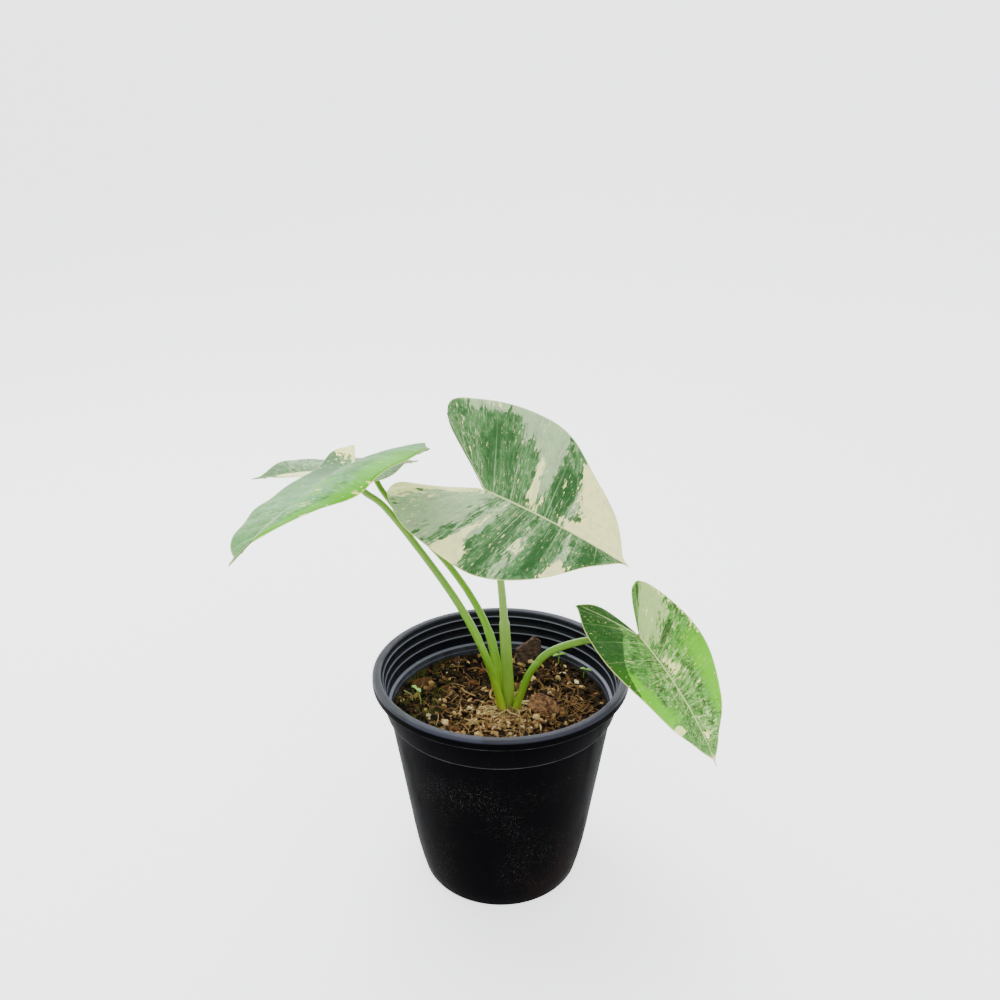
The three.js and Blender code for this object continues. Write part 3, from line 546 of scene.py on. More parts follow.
# Bits that stand out in the photo: x, y, length, width and paleness of each.
placed_bits = [(8.3, -26.5, 4.6, 4.2, 0.985), (12.6, -22.5, 4.4, 4.0, 0.975), (13.9, 48.5, 10, 6, 0.82),
               (-10.7, 38.4, 8, 5, 0.9), (-7.5, -5.5, 9, 6, 0.83), (-13, -32, 7, 3, 0.95),
               (-3.3, -31, 6, 4, 0.83), (16.9, -29, 6, 3.6, 0.75), (-18.7, 6, 9, 3.6, 0.82),
               (-43.9, 17.2, 8, 5, 0.74), (41.4, 43.3, 4, 2, 0.98), (4, -22, 6, 4, 0.95),
               (-8, -24, 7, 3.5, 0.93), (20, -16, 5, 3, 0.97), (-41.9, -13.3, 3.2, 2.2, 0.98)]
for x, y, length, width, paleness in placed_bits:
    turn = rotation(*crumbs_random.normal(0, 0.3, 2), crumbs_random.random() * 6.3)
    points, faces = lump(crumbs_random, length, width, 0.9 + 0.22 * width)
    crumbs.add(points @ turn.T + (x, y, float(mix_surface(x, y)) + 0.9), faces, paleness)
crumb_piece = make_object("mix_crumbs", crumbs.build("mix_crumbs"), "potting_mix")

bark_crumb = Shader("bark_crumb")
crumb_tones = bark_crumb.ramp(
    bark_crumb.attribute("tint"), (0, (18, 14, 11)), (0.26, (44, 32, 20)), (0.44, (74, 52, 30)),
    (0.58, (32, 25, 18)), (0.7, (124, 92, 52)), (0.8, (198, 158, 98)), (0.88, (112, 72, 40)),
    (0.935, (234, 200, 134)), (0.965, (252, 234, 184)), interpolation="CONSTANT")
streak = bark_crumb.noise(bark_crumb.place, 420, 6, 0.65)
tone = bark_crumb.mix(bark_crumb.step(streak, 0.3, 0.7, 0.65, 0.0), crumb_tones, colour(14, 11, 9))
bark_crumb.set(Base_Color=tone, Roughness=0.88, Specular_IOR_Level=0.15)
bark_crumb.bump(streak, 0.8, 0.0008)
crumb_piece.data.materials.append(bark_crumb.material)

# Husk fibres. Tan coconut fibres and rootlets that lie over the mix, thickest in the heap in
# front of the crown and along the right side. Thin bent strands, each with closed ends.


def unit(vectors):
    return vectors / np.linalg.norm(vectors, axis=-1, keepdims=True)


def strand(path, radii, sides=5):
    """Points and faces of a closed tube along path, with a radius at each of its points."""
    path = np.asarray(path, float)
    along = unit(np.gradient(path, axis=0))
    helper = np.array([0.0, 0.0, 1.0]) if abs(along[0][2]) < 0.9 else np.array([1.0, 0.0, 0.0])
    points = []
    for centre, direction, radius in zip(path, along, radii):
        across = unit(np.cross(direction, helper))
        upward = np.cross(across, direction)
        helper = upward
        for side in range(sides):
            angle = 2 * math.pi * side / sides
            points.append(centre + radius * (math.cos(angle) * across + math.sin(angle) * upward))
    faces = [(a, d, c, b) for a, b, c, d in band_faces(len(path), sides)]
    faces.append(tuple(range(sides)))
    faces.append(tuple(reversed(range((len(path) - 1) * sides, len(path) * sides))))
    return np.array(points), faces


fibre_random = np.random.default_rng(23)
fibres = Pile()
zones = [((-1, -18), (13, 9), 230), ((40, 0), (13, 17), 260), ((-28, -8), (22, 22), 230),
         ((5, 25), (30, 20), 170), ((28, -24), (16, 12), 130)]
for centre, spread, count in zones:
    for number in range(count):
        x, y = fibre_random.normal(centre, spread)
        if math.hypot(x, y) > 59 or math.hypot(x - CROWN[0], y - CROWN[1]) < 6:
            continue
        heading = fibre_random.random() * 2 * math.pi
        length = 2.5 + 8 * fibre_random.random() ** 1.7
        curl = fibre_random.normal(0, 0.05)
        slope = max(0.0, fibre_random.normal(0.12, 0.22))
        bow = 0.5 * fibre_random.random()
        ground = float(mix_surface(x, y)) + 0.25
        path = []
        for step in range(6):
            share = step / 5
            lift = length * share * slope + bow * math.sin(math.pi * share)
            path.append([x, y, max(ground, float(mix_surface(x, y))) + lift])
            x += length / 5 * math.cos(heading)
            y += length / 5 * math.sin(heading)
            heading += curl * length / 5
        if max(math.hypot(p[0], p[1]) for p in path) > 62.5:
            continue
        thick = 0.2 + 0.45 * fibre_random.random() ** 2.5
        radii = [thick * f for f in (0.6, 1, 1, 0.9, 0.8, 0.3)]
        paleness = 0.45 if centre[0] == -1 else 0.2
        fibres.add(*strand(path, radii, 4), fibre_random.random() * 0.55 + paleness)
fibre_piece = make_object("mix_fibres", fibres.build("mix_fibres", 70), "potting_mix")

husk_fibre = Shader("husk_fibre")
fibre_tones = husk_fibre.ramp(husk_fibre.attribute("tint"), (0, (78, 52, 28)), (0.6, (146, 108, 58)),
                              (1, (246, 216, 150)))
fleck = husk_fibre.noise(husk_fibre.place, 600, 4, 0.6)
tone = husk_fibre.mix(husk_fibre.step(fleck, 0.35, 0.7, 0.35, 0.0), fibre_tones, colour(70, 44, 26))
husk_fibre.set(Base_Color=tone, Roughness=0.75, Specular_IOR_Level=0.3)
fibre_piece.data.materials.append(husk_fibre.material)

# Large loose bark. Broken plates: the rust-brown chip right of the plant, the dark slab that
# stands at the back, two orange-brown chips at the left and a pale husk block in front.
# Each is the part's own plate, cut finer and roughened in layers along its grain.

PLATES = {
    "bark_chip_right": ("rust_bark", (156, 116, 76), (72, 46, 28), 1),
    "bark_slab_back": ("dark_bark", (112, 88, 74), (58, 44, 38), 2),
    "bark_chip_left": ("rust_bark", (112, 76, 36), (58, 38, 20), 3),
    "bark_chip_back_left": ("rust_bark", (96, 66, 46), (46, 32, 24), 4),
    "husk_block_front": ("pale_husk", (236, 208, 152), (176, 134, 80), 5),
}
for node_name, (slot_name, light_tone, dark_tone, seed) in PLATES.items():
    plate = bmesh.new()
    plate.from_mesh(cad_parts[node_name].data)
    bmesh.ops.remove_doubles(plate, verts=plate.verts, dist=1e-6)
    bmesh.ops.dissolve_limit(plate, angle_limit=0.05, verts=plate.verts, edges=plate.edges)
    bmesh.ops.bevel(plate, geom=plate.edges[:], offset=0.0004, offset_type="OFFSET", segments=1,
                    profile=0.5, affect="EDGES", material=-1)
    bmesh.ops.triangulate(plate, faces=plate.faces)
    for turn in range(3):
        long_edges = [e for e in plate.edges if e.calc_length() > 0.0011]
        bmesh.ops.subdivide_edges(plate, edges=long_edges, cuts=1)
        bmesh.ops.triangulate(plate, faces=plate.faces)
    plate.normal_update()
    places = np.array([v.co for v in plate.verts]) / MM
    layered = value_noise(places * (1, 0.3, 3), 2, 3, seed)
    rough = 0.55 * value_noise(places, 3.5, 4, seed) + 0.35 * layered
    for vertex, amount in zip(plate.verts, rough):
        vertex.co += vertex.normal * float(amount) * 0.75 * MM
    plate_mesh = finish_shape(node_name + "_rough", plate, 45)
    bark = Shader(node_name)
    layers = bark.noise(bark.stretched(bark.place, 1, 0.4, 2.2), 330, 8, 0.68, 0.4)
    pits = bark.noise(bark.place, 1100, 4, 0.6)
    tone = bark.mix(bark.step(layers, 0.36, 0.66), colour(*dark_tone), colour(*light_tone))
    tone = bark.mix(bark.step(pits, 0.42, 0.3), tone, colour(26, 17, 13))
    bark.set(Base_Color=tone, Roughness=0.9, Specular_IOR_Level=0.25)
    bark.bump(bark.math("ADD", layers, pits), 0.9, 0.0008)
    plate_mesh.materials.append(bark.material)
    make_object(node_name + "_rough", plate_mesh, slot_name, node_name)

# Leaf stalks. Four juicy stalks that clasp one another in the crown. The foot of each is a
# grooved sheath with thin wings, which ends in a small step where the round stalk begins.

STALKS = {
    "centre": dict(
        path=[(4.9, -1.4, 104.4), (4.3, -1.6, 124), (2.9, -0.6, 152), (0.6, 1.2, 186),
              (-3.4, 3.2, 218), (-8.6, 5.1, 246.6)],
        foot=3.3, sheath_end=0.45, inward=(-0.4, 1, 0.3), pale=0.55),
    "left_front": dict(
        path=[(2.5, -5.4, 104.4), (-2, -4.6, 124), (-9.5, -1.8, 147), (-23, 1, 175), (-42, 3, 205),
              (-64, 2, 237), (-76, -1, 249), (-82.4, -3.4, 261.3)],
        foot=2.9, sheath_end=0.3, inward=(1, 0.3, 1), pale=0.1),
    "left_back": dict(
        path=[(0.4, -1.6, 104.4), (-1.6, 6, 127), (-7, 18, 149), (-18, 31, 167), (-35, 46, 185),
              (-57, 62, 202), (-75, 78, 218), (-83.6, 88, 230.2)],
        foot=2.7, sheath_end=0.3, inward=(0.8, -0.6, 1), pale=0.1),
    "right": dict(
        path=[(7, -5.6, 104.4), (11.2, -6, 120), (17.5, -6.2, 137), (28, -7, 150), (44, -8, 157.5),
              (61, -9, 160.8), (73, -10.6, 162.2), (79.9, -11.8, 163)],
        foot=3.0, sheath_end=0.42, inward=(-1, 0.2, 1), pale=0.2),
}
STALK_TIP_RADIUS = 1.8
STALK_SIDES = 32
STALK_STEPS = 150


def curve(before, here, after, beyond, t):
    """Place at t, from 0 to 1, on the smooth curve from here to after."""
    return 0.5 * (2 * here + (after - before) * t + (2 * before - 5 * here + 4 * after - beyond) * t ** 2
                  + (3 * here - before - 3 * after + beyond) * t ** 3)


def smooth_path(knots, count):
    """Evenly spaced points on a smooth curve through the knots."""
    knots = np.array(knots, float)
    ends = np.concatenate([[2 * knots[0] - knots[1]], knots, [2 * knots[-1] - knots[-2]]])
    dense = []
    for before, here, after, beyond in zip(ends, ends[1:], ends[2:], ends[3:]):
        t = np.linspace(0, 1, 30, endpoint=False)[:, None]
        dense.append(curve(before, here, after, beyond, t))
    dense = np.concatenate(dense + [knots[-1:]])
    length = np.concatenate([[0], np.cumsum(np.linalg.norm(np.diff(dense, axis=0), axis=1))])
    even = np.linspace(0, length[-1], count)
    return np.stack([np.interp(even, length, dense[:, axis]) for axis in range(3)], -1)


stalk_shader = Shader("leaf_stalk")
lie = stalk_shader.node("UVMap", {"uv_map": "stalk"}).outputs[0]
ribs = stalk_shader.noise(stalk_shader.stretched(lie, 22, 1.2, 1), 1, 5, 0.6)
blotch = stalk_shader.noise(stalk_shader.stretched(lie, 3, 8, 1), 1, 4, 0.6)
stalk_tones = stalk_shader.ramp(
    stalk_shader.parts(lie)[1], (0, (220, 206, 96)), (0.07, (164, 192, 40)), (0.22, (112, 168, 16)),
    (0.5, (84, 138, 12)), (1, (74, 112, 16)))
tone = stalk_shader.mix(stalk_shader.product(stalk_shader.step(ribs, 0.42, 0.62), 0.4),
                        stalk_tones, colour(142, 188, 50))
tone = stalk_shader.mix(stalk_shader.product(stalk_shader.step(blotch, 0.5, 0.66), 0.35),
                        tone, colour(60, 102, 14))
tone = stalk_shader.mix(stalk_shader.attribute("pale"), tone, colour(140, 172, 80))
stalk_shader.set(Base_Color=tone, Roughness=0.4, Specular_IOR_Level=0.3,
                 Subsurface_Weight=0.15, Subsurface_Radius=(0.6, 1.0, 0.3),
                 Subsurface_Scale=0.0015)
stalk_shader.bump(ribs, 0.35, 0.0004)

for stalk_name, stalk in STALKS.items():
    path = smooth_path(stalk["path"], STALK_STEPS + 1)
    along = unit(np.gradient(path, axis=0))
    shares = np.linspace(0, 1, STALK_STEPS + 1)
    angles = np.arange(STALK_SIDES) * 2 * np.pi / STALK_SIDES
    inward = unit(np.array(stalk["inward"], float) - along * (along @ stalk["inward"])[:, None])
    across = np.cross(along, inward)
    taper = stalk["foot"] + (STALK_TIP_RADIUS - stalk["foot"]) * shares ** 0.6
    sheath = 1 - smooth_step(stalk["sheath_end"] - 0.03, stalk["sheath_end"], shares)
    wing = 0.22 * np.sin(angles) ** 2 + 0.1 * np.sin(angles) ** 8
    groove = 0.34 * np.clip(np.cos(angles), 0, 1) ** 4
    ridges = 0.012 * np.sin(angles * 13)
    radius = taper[:, None] * (1 + sheath[:, None] * (wing - groove) + ridges)
    swell = 1 + 0.12 * np.exp(-((shares - 1) / 0.03) ** 2)
    radius = radius * swell[:, None]
    rings = (path[:, None] + radius[..., None] * (np.cos(angles)[None, :, None] * inward[:, None]
                                                   + np.sin(angles)[None, :, None] * across[:, None]))
    points = rings.reshape(-1, 3)
    faces = band_faces(STALK_STEPS + 1, STALK_SIDES)
    corners = [(u / STALK_SIDES, v / STALK_STEPS)
               for row in range(STALK_STEPS) for side in range(STALK_SIDES)
               for u, v in ((side, row), (side + 1, row), (side + 1, row + 1), (side, row + 1))]
    faces.append(tuple(reversed(range(STALK_SIDES))))
    corners += [(0, 0)] * STALK_SIDES
    faces.append(tuple(range(STALK_STEPS * STALK_SIDES, (STALK_STEPS + 1) * STALK_SIDES)))
    corners += [(0, 1)] * STALK_SIDES
    stalk_mesh = make_mesh("stalk_" + stalk_name, points, faces, 60)
    stalk_mesh.uv_layers.new(name="stalk").data.foreach_set("uv", np.ravel(corners))
    pale = np.full(len(points), stalk["pale"])
    stalk_mesh.attributes.new("pale", "FLOAT", "POINT").data.foreach_set("value", pale)
    stalk_mesh.materials.append(stalk_shader.material)
    make_object("stalk_" + stalk_name, stalk_mesh, "leaf_stalk", "leaf_stalk_" + stalk_name)

# Crown. The short swollen stem base with the ragged papery remains of old leaf bases round
# the stalks, and pale cord-like roots that arch out of it into the mix.

crown_pile = Pile()
crown_random = np.random.default_rng(5)
crown_section = [(0, 84), (4.5, 85), (7, 90), (8, 98), (7.9, 102), (7.7, 105), (7.3, 108),
                 (6.9, 110.2), (6.5, 110.6), (6.4, 108), (6.3, 104), (0, 104)]
base = spin_section(crown_section, 64)
points = np.array([vertex.co for vertex in base.verts]) / MM
base.verts.index_update()
faces = [tuple(vertex.index for vertex in face.verts) for face in base.faces]
base.free()
angles = np.arctan2(points[:, 1], points[:, 0])
high = smooth_step(106, 110.5, points[:, 2])
points[:, 2] += high * (1.1 * np.sin(5 * angles + 1) - 1.2 * np.cos(2 * angles)
                        + 0.8 * value_noise(points * (1, 1, 0), 2, 2, 3))
outward = points * (1, 1, 0) / (np.linalg.norm(points[:, :2], axis=1)[:, None] + 1e-6)
points += outward * (0.45 * value_noise(points, 3, 3, 8))[:, None] * (points[:, 2:] > 91)
crown_pile.add(points + (CROWN[0], CROWN[1], 0), faces, 0.35)
SHREDS = 16
for number in range(SHREDS):
    angle = number * 2 * math.pi / SHREDS + crown_random.normal(0, 0.15)
    lean = 0.6 + 0.5 * crown_random.random()
    tall = 4 + 4.5 * crown_random.random()
    path = []
    for k in range(4):
        out, bearing = 7.4 + lean * k * k * 0.35, angle + 0.05 * k
        path.append((CROWN[0] + out * math.cos(bearing), CROWN[1] + out * math.sin(bearing),
                     105 + tall * k / 3))
    crown_pile.add(*strand(path, (1.1, 0.9, 0.55, 0.12), 6), 0.55 + 0.3 * crown_random.random())
ROOTS = 22
for number in range(ROOTS):
    angle = number * 2 * math.pi / ROOTS + crown_random.normal(0, 0.2)
    reach = 9 + 9 * crown_random.random()
    arch = 1.5 + 2 * crown_random.random()
    swerve = crown_random.normal(0, 0.5)
    path = []
    for step in range(10):
        share = step / 9
        out = 6 + reach * share
        bearing = angle + swerve * share * share
        x, y = CROWN[0] + out * math.cos(bearing), CROWN[1] + out * math.sin(bearing)
        lift = 1.4 * (1 - share) + arch * math.sin(math.pi * share * 0.9) - 1.6 * share
        path.append((x, y, float(mix_surface(x, y)) + lift))
    thick = 0.45 + 0.45 * crown_random.random()
    crown_pile.add(*strand(path, np.linspace(thick, thick * 0.7, 10), 8), crown_random.random())
crown_piece = make_object("crown_and_roots", crown_pile.build("crown_and_roots", 60), "crown", "crown")

crown_shader = Shader("crown")
crown_tones = crown_shader.ramp(crown_shader.attribute("tint"), (0, (150, 108, 66)),
                                (0.4, (186, 158, 92)), (1, (222, 206, 160)))
crown_grain = crown_shader.noise(crown_shader.stretched(crown_shader.place, 1, 1, 0.25), 900, 6, 0.65)
crown_spots = crown_shader.noise(crown_shader.place, 260, 5, 0.6)
tone = crown_shader.mix(crown_shader.step(crown_grain, 0.35, 0.65, 0.6, 0.0), crown_tones,
                        colour(104, 72, 40))
tone = crown_shader.mix(crown_shader.step(crown_spots, 0.58, 0.7), tone, colour(90, 60, 38))
crown_shader.set(Base_Color=tone, Roughness=0.78, Specular_IOR_Level=0.3)
crown_shader.bump(crown_shader.math("ADD", crown_grain, crown_spots), 0.6, 0.0006)
crown_piece.data.materials.append(crown_shader.material)

# Leaf blades. Thin arrow-shaped blades. s runs along the midrib from junction to tip and t out
# from it, both in lengths of the midrib. Each half has its own margin, fold and curl, as in
# the part; the grid follows the side veins, which are sunk above and raised below.

BLADES = {
    "centre": dict(
        length=87, junction=(-8.6, 5.1, 246.6), heading=-32, pitch=-10, roll=39, bend=0.46, ripple=0.9,
        halves=[
            dict(lobe_bend=0.19, folds=(0.51, 0.28, 0.21), curl=0.22, margin=[
                (1, 0), (0.83, 0.22), (0.61, 0.37), (0.35, 0.55), (0.07, 0.61), (-0.24, 0.56),
                (-0.45, 0.5), (-0.47, 0.38), (-0.31, 0.23), (-0.03, 0.01)]),
            dict(lobe_bend=0.18, folds=(0.7, 0.35, 0.2), curl=0.29, margin=[
                (1, 0), (0.84, 0.14), (0.63, 0.37), (0.37, 0.56), (0.07, 0.59), (-0.22, 0.57),
                (-0.42, 0.46), (-0.48, 0.34), (-0.34, 0.19), (-0.03, 0.01)]),
        ]),
    "left_front": dict(
        length=95, junction=(-82.4, -3.4, 261.3), heading=238, pitch=0, roll=25, bend=0.34, ripple=0.6,
        halves=[
            dict(lobe_bend=0.39, folds=(0.33, 0.47, -0.12), curl=1.04, margin=[
                (1, 0), (0.84, 0.02), (0.63, 0.3), (0.43, 0.51), (0.07, 0.5), (-0.22, 0.43),
                (-0.33, 0.33), (-0.41, 0.25), (-0.31, 0.16), (-0.03, 0.01)]),
            dict(lobe_bend=-0.82, folds=(0.09, 0.01, 0.09), curl=-0.07, margin=[
                (1, 0), (0.87, 0.15), (0.62, 0.3), (0.36, 0.43), (0.06, 0.52), (-0.24, 0.49),
                (-0.43, 0.46), (-0.46, 0.32), (-0.29, 0.2), (-0.03, 0.01)]),
        ]),
    "left_back": dict(
        length=72, junction=(-83.6, 88, 230.2), heading=204, pitch=7, roll=13, bend=0.13, ripple=0.5,
        halves=[
            dict(lobe_bend=-0.29, folds=(0.69, 0.14, 0.1), curl=0.58, margin=[
                (1, 0), (0.86, 0.13), (0.62, 0.31), (0.37, 0.45), (0.02, 0.57), (-0.23, 0.5),
                (-0.41, 0.4), (-0.47, 0.31), (-0.31, 0.19), (-0.03, 0.01)]),
            dict(lobe_bend=-0.02, folds=(0.14, 0.18, 0.52), curl=0.15, margin=[
                (1, 0), (0.86, 0.13), (0.63, 0.32), (0.38, 0.46), (0.05, 0.52), (-0.25, 0.49),
                (-0.46, 0.4), (-0.56, 0.29), (-0.34, 0.15), (-0.03, 0.01)]),
        ]),
    "right": dict(
        length=86, junction=(79.9, -11.8, 163), heading=-34, pitch=-41, roll=21, bend=0.55, ripple=0.6,
        halves=[
            dict(lobe_bend=0.07, folds=(0.35, 0.44, 0.27), curl=0.25, margin=[
                (1, 0), (0.87, 0.1), (0.65, 0.23), (0.35, 0.33), (0.06, 0.35), (-0.22, 0.29),
                (-0.29, 0.25), (-0.3, 0.21), (-0.25, 0.14), (-0.03, 0.01)]),
            dict(lobe_bend=0.14, folds=(0.17, 0.4, 0.21), curl=0.27, margin=[
                (1, 0), (0.84, 0.1), (0.64, 0.21), (0.41, 0.32), (0.03, 0.39), (-0.23, 0.33),
                (-0.4, 0.25), (-0.42, 0.22), (-0.3, 0.08), (-0.03, 0.01)]),
        ]),
}
FORWARD_ROWS = 16
LOBE_ROWS = 6
ROWS = FORWARD_ROWS + LOBE_ROWS
ROW_CUTS = 8
LOBE_END = 7
HALF_THICKNESS = 0.27
BLADE_TONES = ("cream", "pale", "dark_and_shade", "painted_glow")

# Markings of each blade: soft spots of one tone, as (tone, half, row, share, row reach, share
# reach, strength). Rows count the side veins' spacing from the tip back; share runs from the
# midrib out to the margin. The shader breaks them up into streaks along the veins. Glow marks
# are painted light shining through the blade. A fold mark is no spot but painted shade, as of a
# fold the surface doesn't have there: it darkens every row behind its own and slants towards the
# tip on its way to the margin.
MARKS = {
    "centre": [
        ("cream", 0, 2.8, 0.5, 3.0, 1.2, 1.5), ("cream", 0, 6.5, 0.95, 1.3, 0.3, 1.3),
        ("cream", 0, 6.4, 0.08, 1.3, 0.1, 0.8), ("cream", 0, 11.0, 0.3, 0.5, 0.3, 0.75),
        ("cream", 0, 10.0, 0.12, 0.7, 0.14, 0.55), ("cream", 0, 18.5, 0.5, 0.6, 0.5, 0.35),
        ("cream", 0, 15.0, 0.97, 1.6, 0.06, 0.35), ("cream", 1, 12.6, 0.95, 1.0, 0.22, 1.3),
        ("cream", 1, 13.0, 0.45, 0.3, 0.4, 0.55), ("cream", 1, 5.7, 0.95, 0.8, 0.18, 1.1),
        ("cream", 1, 9.3, 0.6, 0.6, 0.5, 0.35), ("cream", 1, 25.0, 0.5, 6.0, 2.0, 1.5),
        ("cream", 1, 5.8, 0.55, 0.5, 0.4, 0.3), ("cream", 1, 19.0, 0.0, 3.5, 0.1, 0.9),
        ("pale", 0, 10.4, 0.6, 0.9, 0.6, 1.0), ("pale", 0, 11.8, 0.9, 1.6, 0.3, 0.9),
        ("pale", 0, 15.5, 0.98, 3.0, 0.12, 0.8), ("pale", 0, 6.8, 0.3, 0.7, 0.5, 0.6),
        ("pale", 1, 16.8, 0.55, 3.2, 0.8, 1.1), ("pale", 1, 9.3, 0.7, 0.6, 0.6, 0.7),
        ("pale", 1, 5.8, 0.6, 0.7, 0.6, 0.7), ("pale", 1, 12.8, 0.6, 0.6, 0.7, 0.8),
        ("dark_and_shade", 0, 8.3, 0.42, 1.1, 0.3, 1.2), ("dark_and_shade", 0, 14.8, 0.5, 2.2, 0.5, 0.6),
        ("dark_and_shade", 1, 10.8, 0.5, 0.6, 0.6, 0.8), ("dark_and_shade", 1, 7.6, 0.5, 0.7, 0.6, 0.8),
        ("dark_and_shade", 1, 3.4, 0.5, 1.3, 0.6, 0.8),
    ],
    "left_front": [
        # Glow marks: painted light shining through the blade.
        ("painted_glow", 0, 9.5, 0.98, 6.0, 0.24, 1.1), ("painted_glow", 0, 3.5, 0.8, 2.5, 0.5, 0.7),
        ("cream", 0, 6.9, 0.66, 1.0, 0.16, 0.35), ("cream", 0, 8.2, 0.97, 0.9, 0.1, 0.35),
        ("cream", 0, 6.0, 1.0, 1.0, 0.05, 0.5), ("cream", 0, 9.8, 1.0, 0.6, 0.06, 0.5),
        ("cream", 1, 25.0, 0.6, 6.0, 1.6, 1.5), ("cream", 1, 18.0, 0.0, 3.0, 0.08, 1.2),
        ("dark_and_shade", 1, 17.0, 0.6, 4.0, 0.7, 0.8), ("pale", 1, 8.0, 0.6, 3.0, 0.6, 0.4),
        ("pale", 0, 8.0, 0.5, 2.6, 0.35, 0.9),
    ],
    "left_back": [
        ("cream", 0, 5.2, 0.5, 2.2, 0.9, 1.5), ("cream", 0, 8.5, 0.8, 2.2, 0.35, 0.9),
        ("pale", 1, 7.0, 0.7, 4.0, 0.7, 0.6), ("pale", 0, 10.0, 0.5, 3.0, 0.7, 0.6),
        ("dark_and_shade", 1, 20.0, 0.8, 3.0, 0.6, 0.6),
    ],
    "right": [
        ("cream", 0, 15.6, 0.5, 1.6, 0.4, 0.2), ("cream", 0, 11.2, 0.16, 1.3, 0.14, 0.5),
        ("cream", 0, 10.4, 0.4, 0.7, 0.3, 0.3), ("cream", 0, 13.0, 0.97, 3.0, 0.06, 0.45),
        ("cream", 0, 3.3, 0.23, 0.7, 0.2, 0.7), ("cream", 0, 0.2, 0.5, 0.8, 1.0, 0.8),
        ("cream", 1, 6.5, 0.87, 0.7, 0.17, 0.95), ("cream", 1, 0.2, 0.5, 0.8, 1.0, 0.7),
        # Glow marks: painted light shining through the blade.
        ("painted_glow", 0, 8.2, 0.9, 3.0, 0.3, 1.0), ("painted_glow", 1, 10.4, 0.9, 2.6, 0.22, 1.1),
        ("painted_glow", 1, 7.6, 0.6, 1.6, 0.4, 0.5), ("pale", 0, 16.4, 0.6, 2.8, 0.7, 1.3),
        ("pale", 0, 10.5, 0.2, 3.0, 0.3, 0.5), ("pale", 0, 4.0, 0.4, 2.5, 0.5, 0.5),
        ("pale", 1, 9.5, 0.2, 4.0, 0.3, 0.35), ("painted_glow", 0, 11.5, 0.55, 2.2, 0.4, 0.4),
        ("dark_and_shade", 0, 20.0, 0.4, 1.4, 0.6, 0.7),
        # The fold entry is painted shade behind a fold line that the blade doesn't have.
        ("dark_and_shade", 0, 13.4, 0.5, 0.35, 0.35, 0.8), ("fold", 1, 19.0, 8.7, 1, 1, 1.2),
    ],
}


def margin_at(margin, position):
    """Place on the smooth margin; whole positions are its measured points."""
    margin = np.array(margin, float)
    last = len(margin) - 1
    position = np.clip(position, 0, last)
    first = np.minimum(np.floor(position).astype(int), last - 1)
    t = (position - first)[..., None]
    return curve(margin[np.maximum(first - 1, 0)], margin[first], margin[first + 1],
                 margin[np.minimum(first + 2, last)], t)


def blade_surface(blade, half_number, s, t):
    """Middle of the blade in its own frame, in millimetres."""
    half = blade["halves"][half_number]
    side = 1 if half_number == 0 else -1
    bend = np.where(s >= 0, blade["bend"], half["lobe_bend"])
    turn = bend * s
    lobe, widest, tip = half["folds"]
    fold = (lobe + (widest - lobe) * smooth_step(-0.5, 0.3, s)
            + (tip - widest) * smooth_step(0.3, 1, s))
    rate = half["curl"] / 0.5
    outward = (np.sin(fold) - np.sin(fold - rate * t)) / rate
    upward = (np.cos(fold - rate * t) - np.cos(fold)) / rate
    return blade["length"] * np.stack([np.sin(turn) / bend + upward * np.sin(turn), side * outward,
                                       -(1 - np.cos(turn)) / bend + upward * np.cos(turn)], -1)


